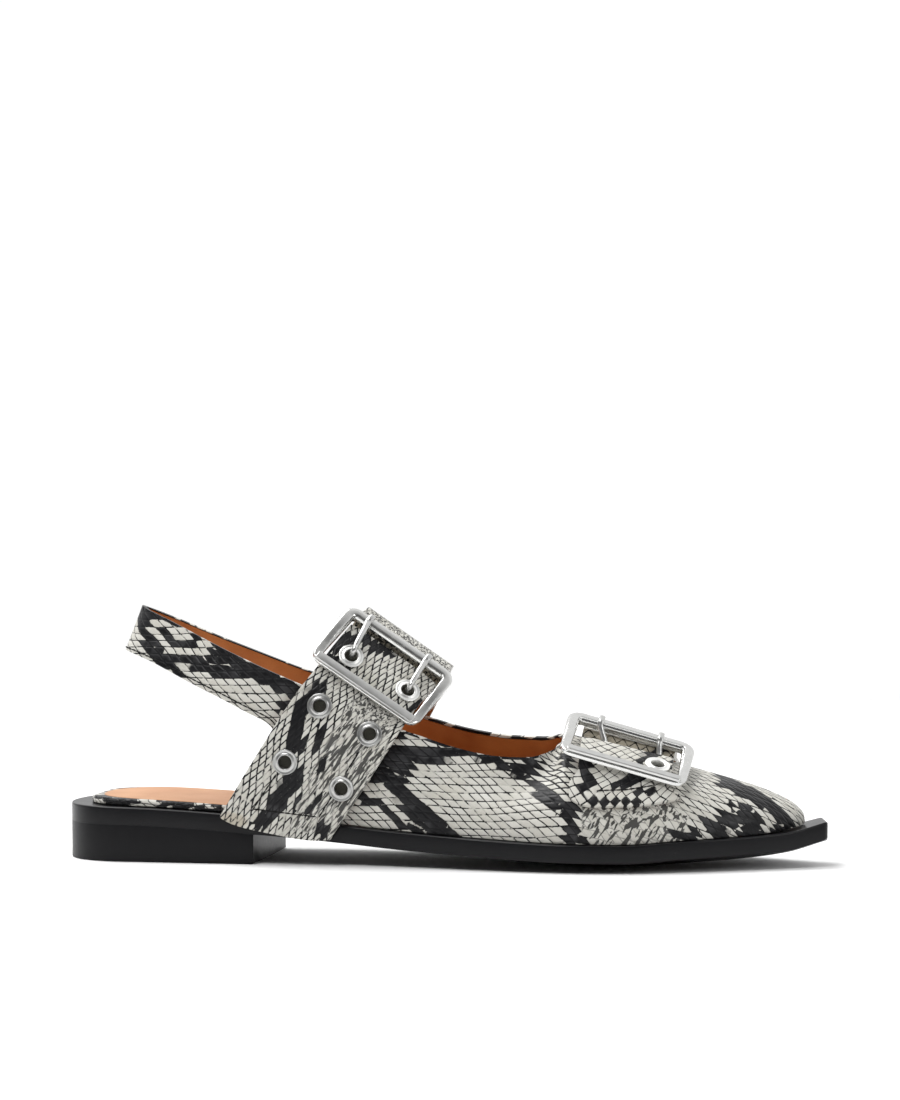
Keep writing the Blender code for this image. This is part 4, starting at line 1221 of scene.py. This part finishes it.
def pleat_height(run, climb, ribs_run):
    """Rise of the small pleats at a place on the wall."""
    rise = np.zeros(run.shape)
    for rib, height, angle, length, most in PLEATS:
        turn = math.radians(angle)
        x, y = run - np.interp(rib, ribs_run[0], ribs_run[1]), climb - height
        along = x * math.cos(turn) + y * math.sin(turn)
        off = -x * math.sin(turn) + y * math.cos(turn)
        rise += most * np.exp(-(off / PLEAT_BREADTH) ** 2) * np.exp(-(along / length * 1.6) ** 2)
    return rise


class Wall:
    """One side of the upper: points[row, column] of its outer face, and where they lie on the skin."""

    def __init__(self, lateral):
        ribs = upper_ribs()
        fine = np.linspace(0, 1, 81)
        rib, share = np.meshgrid(ribs, fine)
        path = upper_wall(rib.ravel(), share.ravel(), lateral).reshape(*rib.shape, 3)
        walk = walked(path)
        girth = walk[-1]
        body = np.linspace(0, 1, BODY_ROWS)[:, None] * (girth - FOLD_ROWS[0])
        climb = np.concatenate([body, girth - np.array(FOLD_ROWS[1:])[:, None]])
        share = np.stack([np.interp(climb[:, k], walk[:, k], fine) for k in range(len(ribs))], 1)
        rib = np.broadcast_to(ribs, share.shape)
        points = upper_wall(rib.ravel(), share.ravel(), lateral).reshape(*rib.shape, 3)
        middle = upper_wall(ribs, np.full(ribs.shape, 0.5), lateral)
        facing = np.radians(rib_column("facing", ribs))
        side = 1 if lateral else -1
        tangent = np.stack([np.cos(facing), side * np.sin(facing), 0 * facing], 1)
        run = -np.cumsum(np.sum(np.diff(middle, axis=0, prepend=middle[:1]) * tangent, axis=1))
        crest = np.where(ribs <= THROAT_RIB, girth, np.interp(THROAT_RIB, ribs, girth))
        self.lateral = lateral
        self.ribs = ribs
        self.below = girth - climb
        self.across = -run + np.einsum("rcd,cd->rc", points - middle, tangent)
        self.up = side * (climb + rib_column("lift", ribs) - crest)
        along, over = np.gradient(points, axis=1), np.gradient(points, axis=0)
        self.out = side * unit(np.cross(over, along))
        raised = pleat_height(run + 0 * climb, climb, (ribs, run)) if lateral else 0.0 * climb
        self.points = points + self.out * raised[..., None]

    def facing_out(self, points):
        """Columns in the order that faces the sheet outward."""
        return points[FLIP] if self.lateral else points


def make_upper(snake, tan):
    skins, linings = [], []
    for lateral in (True, False):
        wall = Wall(lateral)
        skin = sheet("upper_skin", wall.facing_out(wall.points), snake)
        seen = wall.points if lateral else mirrored(wall.points)
        scales = scale_places(wall.across, wall.up, UPPER_SCALES, 1)
        rim = (wall.below < FOLD_DEPTH) & picked(scales, RIM_DARK)
        print_skin(
            skin, wall.facing_out(seen), wall.facing_out(scales), UPPER_STROKES, UPPER_PATCHES,
            UPPER_BOLD, UPPER_FLECKED, check=wall.facing_out(rim),
        )
        depth = FOLD_DEPTH + (SLING_FOLD_DEPTH - FOLD_DEPTH) * ease(wall.ribs, SLING_RIB - 4.0, SLING_RIB)
        mark(skin, "fold", wall.facing_out((wall.below < depth) & (wall.ribs > THROAT_RIB - 0.3)))
        skins.append(skin)
        hem = (depth + 0.2) * ease(wall.ribs, THROAT_RIB - 0.25, THROAT_RIB + 0.05)
        inner = wall.points - wall.out * (SKIN + LINING_GAP)
        keep = len(wall.points) - len(FOLD_ROWS) + 1
        climb = np.linspace(0, 1, keep)[:, None]
        reach = wall.below[0] - hem
        trimmed = np.empty((keep, len(wall.ribs), 3))
        for column in range(len(wall.ribs)):
            height = wall.below[0, column] - wall.below[:, column]
            for k in range(3):
                trimmed[:, column, k] = np.interp(climb[:, 0] * reach[column], height, inner[:, column, k])
        linings.append(sheet("upper_lining", wall.facing_out(trimmed), tan))
    skin = merged(joined("upper_skin", skins))
    fold = skin.vertex_groups.new(name="folded")
    weights = np.empty(len(skin.data.vertices))
    skin.data.attributes["fold"].data.foreach_get("value", weights)
    fold.add([int(k) for k in np.flatnonzero(weights > 0.5)], 1.0, "REPLACE")
    applied(
        skin, "SOLIDIFY", thickness=FOLD * MM, offset=-1, vertex_group="folded",
        thickness_vertex_group=SKIN / FOLD, use_even_offset=False,
    )
    placed(smoothed(skin, 50), "snake_print_leather", "upper")
    lining = merged(joined("upper_lining", linings), 0.05)
    applied(lining, "SOLIDIFY", thickness=LINING * MM, offset=-1, use_even_offset=False)
    placed(smoothed(lining, 50), "tan_leather")


# Straps


def punched(obj, hits):
    """Takes away the points of a sheet that are hit."""
    edit(obj, (bpy.ops.mesh.select_mode, {"type": "VERT"}), (bpy.ops.mesh.select_all, {"action": "DESELECT"}))
    obj.data.vertices.foreach_set("select", hits)
    bpy.ops.object.mode_set(mode="EDIT")
    bpy.ops.mesh.delete(type="VERT")
    bpy.ops.object.mode_set(mode="OBJECT")


def strap_skin(name, points, material, tan, seen, across, up, steps, seed, wall, holes=(), **chart):
    """A strap from its outer face: printed, punched for its eyelets, given its wall and a lining, and with
    its edges eased."""
    obj = sheet(name, points, material)
    print_skin(obj, seen, scale_places(across, up, steps, seed), **chart)
    obj.data.materials.append(tan)
    if holes:
        flat = points.reshape(-1, 3)
        near = [np.linalg.norm(flat - place, axis=1) < EYELET_BARREL + PUNCH_ROOM for place in holes]
        punched(obj, np.any(near, axis=0))
    if np.ndim(wall):
        most = float(np.max(wall))
        group = obj.vertex_groups.new(name="wall")
        for k, thick in enumerate(np.ravel(wall)):
            group.add([k], float(thick / most), "REPLACE")
        applied(
            obj, "SOLIDIFY", thickness=most * MM, offset=-1, vertex_group="wall", thickness_vertex_group=0.0,
            material_offset=1, use_even_offset=False,
        )
    else:
        applied(obj, "SOLIDIFY", thickness=wall * MM, offset=-1, material_offset=1, use_even_offset=False)
    bevel_from = math.radians(55)
    applied(obj, "BEVEL", width=EDGE_BEVEL * MM, segments=2, limit_method="ANGLE", angle_limit=bevel_from)
    return smoothed(obj, 50)


def strap_walks(points):
    """Distances over a sheet from its first column, along the strap, and from its first row, over it."""
    return walked(points.swapaxes(0, 1)).T, walked(points)


def strap_grid(along, over):
    """Even places along and over a strap as two flat arrays, with the shape of the grid."""
    x, y = np.meshgrid(np.linspace(0, 1, along), np.linspace(0, 1, over))
    return x.ravel(), y.ravel(), x.shape


def make_instep_straps(snake, tan):
    x, y, shape = strap_grid(170, 66)
    foot = -INSTEP_FOOT_ROUND * (1 - (2 * y - 1) ** 4)
    tip = INSTEP_TIP - 0.006 * (2 * y - 1) ** 6
    t = foot + (tip - foot) * x
    points = instep_point(t, y, instep_lift(t) + STRAP_WALL).reshape(*shape, 3)
    along, over = strap_walks(points)
    holes = [place for place, _ in instep_eyelets()]
    raw = ease(patch_depth(photo_place(points).reshape(-1, 2), INSTEP_RAW), -1.0, 2.0).reshape(shape)
    lateral = strap_skin(
        "instep_strap_lateral_dressed", points[FLIP], snake, tan, points[FLIP], over[FLIP], along[FLIP],
        INSTEP_SCALES, 2, STRAP_WALL, holes, strokes=INSTEP_STROKES, flecked=INSTEP_FLECKED,
        bare=RAW_EDGE * raw[FLIP],
    )
    placed(lateral, "snake_print_leather", "instep_strap_lateral")
    x, y, shape = strap_grid(180, 60)
    t = INSTEP_TURN + (1 - INSTEP_TURN) * x
    wall = turned_wall(t, INSTEP_TURNED)
    points = instep_point(t, y, wall).reshape(*shape, 3)
    along, over = strap_walks(points)
    seen = mirrored(points)
    # Its turned-back end under the buckle takes a darker beige tint of painted shade
    medial = strap_skin(
        "instep_strap_medial_dressed", points[FLIP], snake, tan, seen[FLIP], over[FLIP], -along[FLIP],
        INSTEP_SCALES, 3, wall.reshape(shape)[FLIP], strokes=INSTEP_STROKES, flecked=INSTEP_FLECKED,
        bare=TURN_SHADE * (1 - ease(t, *INSTEP_TURN_SHADE)).reshape(shape)[FLIP],
    )
    placed(medial, "snake_print_leather", "instep_strap_medial")


def make_toe_straps(snake, tan):
    x, y, shape = strap_grid(90, 84)
    end = TOE_END - TOE_END_ROUND * (1 - (2 * y - 1) ** 4) + TOE_END_SLANT * y ** 1.3
    tip = TOE_TIP - 0.012 * (2 * y - 1) ** 6
    q = end + (tip - end) * x
    points = upper_offset(toe_rib(y, q), q, toe_lift(q) + STRAP_WALL).reshape(*shape, 3)
    along, over = strap_walks(points)
    holes = [toe_eyelet(*TOE_EYELET)[0]]
    lateral = strap_skin(
        "toe_strap_lateral_dressed", points[FLIP], snake, tan, points[FLIP], over[FLIP], along[FLIP],
        TOE_SCALES, 4, STRAP_WALL, holes, strokes=TOE_STROKES, checks=TOE_CHEQUERED,
    )
    placed(lateral, "snake_print_leather", "toe_strap_lateral")
    x, y, shape = strap_grid(130, 76)
    q = TOE_TURN + (TOE_MEDIAL_END - TOE_TURN) * x
    wall = turned_wall(q, TOE_TURNED)
    points = upper_offset(toe_rib(y, q), q, GAP + wall).reshape(*shape, 3)
    along, over = strap_walks(points)
    seen = mirrored(points)
    # Its turned-back end under the buckle takes a darker beige tint of painted shade
    medial = strap_skin(
        "toe_strap_medial_dressed", points[FLIP], snake, tan, seen[FLIP], over[FLIP], -along[FLIP],
        TOE_SCALES, 6, wall.reshape(shape)[FLIP], strokes=TOE_STROKES, checks=TOE_CHEQUERED,
        bare=TURN_SHADE * (1 - ease(q, *TOE_TURN_SHADE)).reshape(shape)[FLIP],
    )
    placed(medial, "snake_print_leather", "toe_strap_medial")


# Buckles

# Sections of the frame, across from inside to outside and in height, as shares of the half width and the
# half thickness
FRAME_SECTION = (
    (-1.00, -0.70), (-0.90, -0.92), (-0.72, -1.00), (0.72, -1.00), (0.90, -0.92), (1.00, -0.70),
    (1.00, 0.05), (0.97, 0.36), (0.88, 0.66), (0.72, 0.86), (0.48, 0.97), (0.16, 1.00), (-0.24, 0.99),
    (-0.56, 0.95), (-0.70, 0.84), (-0.76, 0.62), (-0.82, 0.48), (-0.91, 0.38), (-0.97, 0.22), (-1.00, -0.02),
)
BAR_SECTION = (
    (-1.00, -0.70), (-0.90, -0.92), (-0.72, -1.00), (0.72, -1.00), (0.90, -0.92), (1.00, -0.70),
    (1.00, 0.30), (0.96, 0.62), (0.86, 0.84), (0.66, 0.96), (0.40, 1.00), (0.16, 1.00), (-0.06, 1.00),
    (-0.24, 1.00), (-0.42, 1.00), (-0.58, 0.98), (-0.74, 0.92), (-0.88, 0.80), (-0.96, 0.56), (-1.00, 0.10),
)


def buckle_path():
    """Middle line of the frame: places on it, the directions outward, and the shares of the near bar."""
    half_a, half_b = (BUCKLE_LENGTH - BAR_WIDTH) / 2, BAR_SPACING / 2
    corner = BUCKLE_CORNER
    rows = []
    for quarter, (sign_a, sign_b) in enumerate(((1, 1), (-1, 1), (-1, -1), (1, -1))):
        for step in range(13):
            angle = math.pi / 2 * (quarter + step / 12)
            out = np.array([math.cos(angle), math.sin(angle)])
            centre = np.array([sign_a * (half_a - corner), sign_b * (half_b - corner)])
            rows.append((centre + corner * out, out))
        corner_end, ahead = rows[-1]
        shares = np.linspace(0, 1, 14)[1:-1]
        for share in shares:
            across_bar = quarter in (0, 2)
            flip = (1 - 2 * share, 1) if across_bar else (1, 1 - 2 * share)
            rows.append((corner_end * flip, ahead))
    start, end = corner - half_b - 1.5, half_b - 4.0
    return [(place, out, 1 - float(ease(place[1], start, end))) for place, out in rows]


def make_frame(name, metal, axes):
    """A frame of stepped bars: a broad outer face, a line, and a lower ledge inside."""
    middle, first, second, third = axes
    full, slim = np.array(FRAME_SECTION), np.array(BAR_SECTION)
    rings = []
    for place, out, near in buckle_path():
        wide = (BAR_WIDTH + (NEAR_BAR_WIDTH - BAR_WIDTH) * near) / 2
        thick = (BAR_THICKNESS + (NEAR_BAR_THICKNESS - BAR_THICKNESS) * near) / 2
        section = full + (slim - full) * near
        ring = []
        for across, height in section:
            a, b = place + out * across * wide
            level = thick - BAR_THICKNESS / 2 + height * thick
            ring.append(middle + first * a + second * b + third * level)
        rings.append(ring)
    rings.append(rings[0])
    obj = closed(sheet(name + "_dressed", in_order(rings), metal))
    return placed(smoothed(obj, 35), "polished_nickel", name)


def rounded_outline(half_a, half_b, corner):
    rows = []
    for quarter, (sign_a, sign_b) in enumerate(((1, 1), (-1, 1), (-1, -1), (1, -1))):
        for step in range(6):
            angle = math.pi / 2 * (quarter + step / 5)
            rows.append((
                sign_a * (half_a - corner) + corner * math.cos(angle),
                sign_b * (half_b - corner) + corner * math.sin(angle),
            ))
    return rows


def make_plate(name, metal, axes):
    """The flat plate over the near bar, with softened ends and a fine bevel round its face."""
    middle, first, second, third = axes
    low = NEAR_BAR_THICKNESS - BAR_THICKNESS / 2 + GAP
    centre = middle - second * (BAR_SPACING / 2)
    rings = []
    for height, inset in ((0.0, 0.35), (0.1, 0.2), (0.85, 0.2), (1.05, 0.28), (1.15, 0.4), (1.2, 0.6)):
        outline = rounded_outline(PLATE_LENGTH / 2 - inset, PLATE_WIDTH / 2 - inset, 0.9 - inset / 2)
        rings.append([centre + first * a + second * b + third * (low + height) for a, b in outline])
    obj = closed(sheet(name + "_dressed", in_order(rings), metal))
    return placed(smoothed(obj, 30), "polished_nickel", name)


def curve_through(points, per_span):
    """A smooth curve through points, with per_span steps between neighbours."""
    points = np.asarray(points, float)
    padded = np.concatenate([[2 * points[0] - points[1]], points, [2 * points[-1] - points[-2]]])
    made = []
    for before, one, two, after in zip(padded, padded[1:], padded[2:], padded[3:]):
        for u in np.arange(per_span) / per_span:
            made.append(
                0.5 * (
                    2 * one + (two - before) * u + (2 * before - 5 * one + 4 * two - after) * u * u
                    + (3 * one - before - 3 * two + after) * u ** 3
                )
            )
    made.append(points[-1])
    return np.array(made)


def bar(name, path, halves, side, material, sides=16):
    """A bar along a path, with half widths toward side and half thicknesses across it, closed at the ends."""
    tangent = unit(np.gradient(path, axis=0))
    turn = np.linspace(0, 2 * math.pi, sides, endpoint=False)
    rings = []
    for place, ahead, wide, thick in zip(path, tangent, *halves):
        side = unit(side - ahead * (side @ ahead))
        up = np.cross(ahead, side)
        rings.append([place + wide * side * math.cos(a) + thick * up * math.sin(a) for a in turn])
    return smoothed(closed(sheet(name, in_order(rings), material)), 60)


def prong_halves(path):
    """Flat round the far bar, round beyond it, a little finer to the tip, and domed at both ends."""
    walk = walked(path)
    left = walk[-1] - walk
    dome = np.sqrt(np.clip(1 - (1 - np.clip(np.minimum(left, walk) / PRONG_RADIUS, 0, 1)) ** 2, 0.02, 1))
    finer = (0.80 + 0.20 * ease(left, 1.0, 9.0)) * dome
    thick = HOOK_RADIUS + (PRONG_RADIUS - HOOK_RADIUS) * ease(walk, 6.0, 11.0)
    return PRONG_RADIUS * finer, thick * finer


def make_prongs(metal):
    axes = instep_buckle()
    for name, number, along in zip(("rear", "front"), PRONG_EYELETS, INSTEP_PRONGS):
        place, axis = instep_eyelets()[number - 1]
        hook = far_bar_hook(axes, along)
        toward = hook[-1] - place
        toward = unit(toward - axis * (toward @ axis))
        ends = [place + toward * b + axis * n for b, n in ((5.2, 3.1), (1.4, 3.0), (0.3, 1.7), (0.0, -1.0))]
        path = curve_through(hook[:-1] + ends, 8)
        obj = bar("instep_prong_" + name + "_dressed", path, prong_halves(path), axes[1], metal)
        placed(obj, "polished_nickel", "instep_prong_" + name)
    axes = toe_buckle()
    low = GAP + PRONG_RADIUS
    for name, tip_q, w, along in TOE_PRONGS:
        q = np.array([-0.122, TOE_TIP + 0.022, tip_q])
        run = upper_offset(toe_rib(w, q), q, [low + 1.1, low + 0.05, low + 0.05])
        path = curve_through(far_bar_hook(axes, along) + list(run), 8)
        obj = bar("toe_prong_" + name + "_dressed", path, prong_halves(path), axes[1], metal)
        placed(obj, "polished_nickel", "toe_prong_" + name)


def make_eyelet(name, metal, hole_shade, place, axis):
    """A flat eyelet with a fine outer rim and a rolled inner one, its barrel, and a dark disc of painted
    shade across the bottom of its hole."""
    profile = [
        (EYELET_HOLE, -STRAP_WALL + 0.2), (EYELET_BARREL, -STRAP_WALL + 0.2), (EYELET_BARREL, 0.12),
        (EYELET_RADIUS - 0.2, 0.12), (EYELET_RADIUS, 0.24), (EYELET_RADIUS, 0.46),
        (EYELET_RADIUS - 0.14, 0.60), (EYELET_RADIUS - 0.36, 0.62), (EYELET_RADIUS - 0.56, 0.52),
        (EYELET_BARREL + 0.50, 0.52), (EYELET_BARREL + 0.32, 0.60), (EYELET_BARREL + 0.08, 0.80),
        (EYELET_HOLE + 0.26, 0.84), (EYELET_HOLE + 0.08, 0.74), (EYELET_HOLE, 0.45),
    ]
    side = unit(np.cross(axis, (0.31, 0.24, 0.92)))
    up = np.cross(axis, side)
    turn = np.linspace(0, 2 * math.pi, 40, endpoint=False)
    round_axis = np.array([side * math.cos(a) + up * math.sin(a) for a in turn])
    rows = [place + r * round_axis + h * axis for r, h in profile + profile[:1]]
    ring = closed(sheet(name + "_dressed", in_order(rows), metal))
    # A dark disc of painted shade across the bottom of the hole
    rows = [place + r * round_axis + (-STRAP_WALL + 0.5) * axis for r in (EYELET_HOLE + 0.2, 1.2, 0.02)]
    disc = merged(sheet(name + "_felt", in_order(rows), hole_shade), 0.002)
    obj = joined(name + "_dressed", [ring, disc])
    return placed(smoothed(obj, 50), "polished_nickel", name)


def make_eyelets(shaded_nickel, lit_nickel, hole_shade):
    """Eyelets in two copies of one nickel: a darker one as painted shade down the strap, and a far lighter
    one as painted light where the prongs go through and on the toe.
    """
    for number, eyelet in enumerate(instep_eyelets(), 1):
        # Far lighter nickel as painted light on the eyelets that the prongs go through, darker as painted
        # shade on the rest
        metal = lit_nickel if number in PRONG_EYELETS else shaded_nickel
        make_eyelet(f"instep_eyelet_{number}", metal, hole_shade, *eyelet)
    make_eyelet("toe_eyelet", lit_nickel, hole_shade, *toe_eyelet(*TOE_EYELET))


# Stitching

STITCH_PITCH = 2.3
STITCH_LENGTH = 2.6
STITCH_WIDTH = 0.55
STITCH_RISE = 0.1
INSTEP_STITCHES = (       # lines on the instep strap's foot, through places (t, w)
    ((0.150, 0.250), (0.043, 0.235)),
    ((0.043, 0.235), (0.051, 0.504), (0.060, 0.798)),
    ((0.060, 0.798), (0.277, 0.782)),
)
TOE_STITCHES = ((-0.632, 0.303), (-0.587, 0.597), (-0.516, 0.840))      # places (q, w)
SLING_STITCH_RIBS = (19.6, 25.0)
SLING_STITCH_RISE = (2.0, 1.0)    # heights over the lower edge, at the first and the last of those ribs


def line_places(line, steps=60):
    """Even places on a line through pairs."""
    at = np.linspace(0, len(line) - 1, steps)
    return [np.interp(at, np.arange(len(line)), column) for column in np.array(line).T]


def sling_line(lateral):
    """Places a little above the sling's lower edge, and the directions out of it."""
    ribs = np.linspace(*SLING_STITCH_RIBS, 90)
    rise = np.interp(ribs, SLING_STITCH_RIBS, SLING_STITCH_RISE)
    shares = np.linspace(0, 0.4, 40)
    rows = np.stack([upper_wall(ribs, np.full(ribs.shape, share), lateral) for share in shares])
    walk = walked(rows)
    share = np.array([np.interp(rise[k], walk[:, k], shares) for k in range(len(ribs))])
    facing = np.radians(rib_column("facing", ribs))
    out = np.stack([np.sin(facing), (-1 if lateral else 1) * np.cos(facing), 0 * facing], 1)
    return upper_wall(ribs, share, lateral), out


def stitch_model(thread):
    bpy.ops.mesh.primitive_uv_sphere_add(segments=10, ring_count=6, radius=0.5 * MM)
    model = bpy.context.object
    model.data.materials.append(thread)
    bpy.ops.object.shade_smooth()
    return model


def stitched(model, path, out, holes=()):
    """Copies of a stitch laid end to end along a path, left out under the eyelets."""
    walk = walked(path)
    at = np.arange(STITCH_PITCH / 2, walk[-1], STITCH_PITCH)
    ahead = unit(np.gradient(path, axis=0))
    place, along, normal = (
        np.stack([np.interp(at, walk, values[:, k]) for k in range(3)], 1) for values in (path, ahead, out)
    )
    made = []
    for here, first, third in zip(place, along, normal):
        if any(np.linalg.norm(here - hole) < EYELET_RADIUS + 0.4 for hole in holes):
            continue
        third = unit(third - first * (third @ first))
        axes = np.stack([first * STITCH_LENGTH, np.cross(third, first) * STITCH_WIDTH, third * STITCH_WIDTH])
        stitch = model.copy()
        stitch.data = model.data.copy()
        bpy.context.collection.objects.link(stitch)
        centre = Matrix.Translation(Vector(world(here + third * STITCH_RISE)))
        stitch.matrix_world = centre @ Matrix(axes).transposed().to_4x4()
        made.append(stitch)
    return made


def make_stitches(thread):
    model = stitch_model(thread)
    holes = [place for place, _ in instep_eyelets()]
    pieces = []
    for line in INSTEP_STITCHES:
        t, w = line_places(line)
        pieces += stitched(model, instep_point(t, w, instep_lift(t) + STRAP_WALL), instep_normal(t, w), holes)
    lateral, medial = sling_line(True), sling_line(False)
    path, out = (np.concatenate([one, two[-2::-1]]) for one, two in zip(lateral, medial))
    pieces += stitched(model, path, out)
    q, w = line_places(TOE_STITCHES)
    rib = toe_rib(w, q)
    pieces += stitched(model, upper_offset(rib, q, toe_lift(q) + STRAP_WALL), upper_normal(rib, q))
    bpy.data.objects.remove(model)
    seam = joined("black_stitches", pieces)
    use(seam)
    bpy.ops.object.transform_apply(location=True, rotation=True, scale=True)
    placed(seam, "snake_print_leather")


# Stage

FLOOR_SIZE = 1.9
FLOOR_GAP = 0.0002
SKY_BACK = 1.02
SKY_FRONT = 0.12
SKY_FADE = (-0.55, 0.25)  # Y of a direction, from where the front is full to where the back is full
LIGHT_AIM = (0.0, 0.0, 0.03)
SOFTBOXES = (             # name, place, size and power of each light
    ("top_softbox", (-0.55, 0.2, 1.25), (1.0, 0.8), 16.0),
    ("front_softbox", (-0.45, -0.95, 1.35), (0.6, 0.4), 11.0),
    ("toe_softbox", (1.0, -0.6, 0.6), (0.2, 0.5), 2.5),
)


def make_stage():
    deselect()
    bpy.ops.mesh.primitive_plane_add(size=FLOOR_SIZE, location=(0, 0, -FLOOR_GAP))
    floor = bpy.context.object
    floor.name = "studio_floor"
    floor.data.materials.append(floor_finish())
    for name, place, size, power in SOFTBOXES:
        bpy.ops.object.light_add(type="AREA", location=place)
        light = bpy.context.object
        light.name = name
        light.data.shape = "RECTANGLE"
        light.data.size, light.data.size_y = size
        light.data.energy = power
        light.rotation_euler = (Vector(LIGHT_AIM) - Vector(place)).to_track_quat("-Z", "Y").to_euler()
    make_sky()
    bpy.context.scene.view_settings.view_transform = "Standard"


def make_sky():
    """A white studio behind the shoe and grey in front of it, so that the metal has something dark to
    mirror."""
    sky = bpy.data.worlds.new("studio_sky")
    sky.use_nodes = True
    bpy.context.scene.world = sky
    nodes, links = sky.node_tree.nodes, sky.node_tree.links
    toward = nodes.new("ShaderNodeTexCoord")
    split = nodes.new("ShaderNodeSeparateXYZ")
    fade = nodes.new("ShaderNodeMapRange")
    fade.interpolation_type = "SMOOTHSTEP"
    fade.inputs["From Min"].default_value = SKY_FADE[0]
    fade.inputs["From Max"].default_value = SKY_FADE[1]
    fade.inputs["To Min"].default_value = SKY_FRONT
    fade.inputs["To Max"].default_value = SKY_BACK
    links.new(toward.outputs["Generated"], split.inputs["Vector"])
    links.new(split.outputs["Y"], fade.inputs["Value"])
    links.new(fade.outputs["Result"], nodes["Background"].inputs["Strength"])
    nodes["Background"].inputs["Color"].default_value = (1.0, 1.0, 1.0, 1.0)


def main():
    add_camera()
    snake = snake_finish("snake_print_upper", 2.75, 0.20, 1.25)
    snake_instep = snake_finish("snake_print_instep", 2.1, 0.25, 0.8)
    snake_toe = snake_finish("snake_print_toe", 3.1, 0.20, 0.8)
    lining = lining_finish("cognac_lining", (0.37, 0.115, 0.024), (0.48, 0.17, 0.045), 0.42)
    sock = lining_finish("peach_tan_insole", (0.46, 0.225, 0.105), (0.53, 0.280, 0.142), 0.46)
    black = sole_finish("satin_black_sole", 0.19, 0.21)
    block = sole_finish("matte_black_heel", 0.18, 0.30)
    metal = nickel_finish("polished_nickel_bright", 0.75, 0.58, 0.70)
    brushed = nickel_finish("brushed_nickel", 0.35, 0.50, 0.60)
    # Two copies of the eyelets' nickel: a darker one as painted shade, a far lighter one as painted light
    shaded_nickel = nickel_finish("eyelet_nickel_shaded", 0.25, 0.42, 0.50)
    lit_nickel = nickel_finish("eyelet_nickel_lit", 0.10, 0.86, 0.92)
    make_soles(black, block, sock, snake)
    make_upper(snake, lining)
    make_instep_straps(snake_instep, lining)
    make_toe_straps(snake_toe, lining)
    for name, axes in (("instep_buckle", instep_buckle()), ("toe_buckle", toe_buckle())):
        make_frame(name + "_frame", metal, axes)
        make_plate(name + "_plate", brushed, axes)
    make_prongs(brushed)
    make_eyelets(shaded_nickel, lit_nickel, shade_finish())
    make_stitches(thread_finish())
    make_stage()


main()
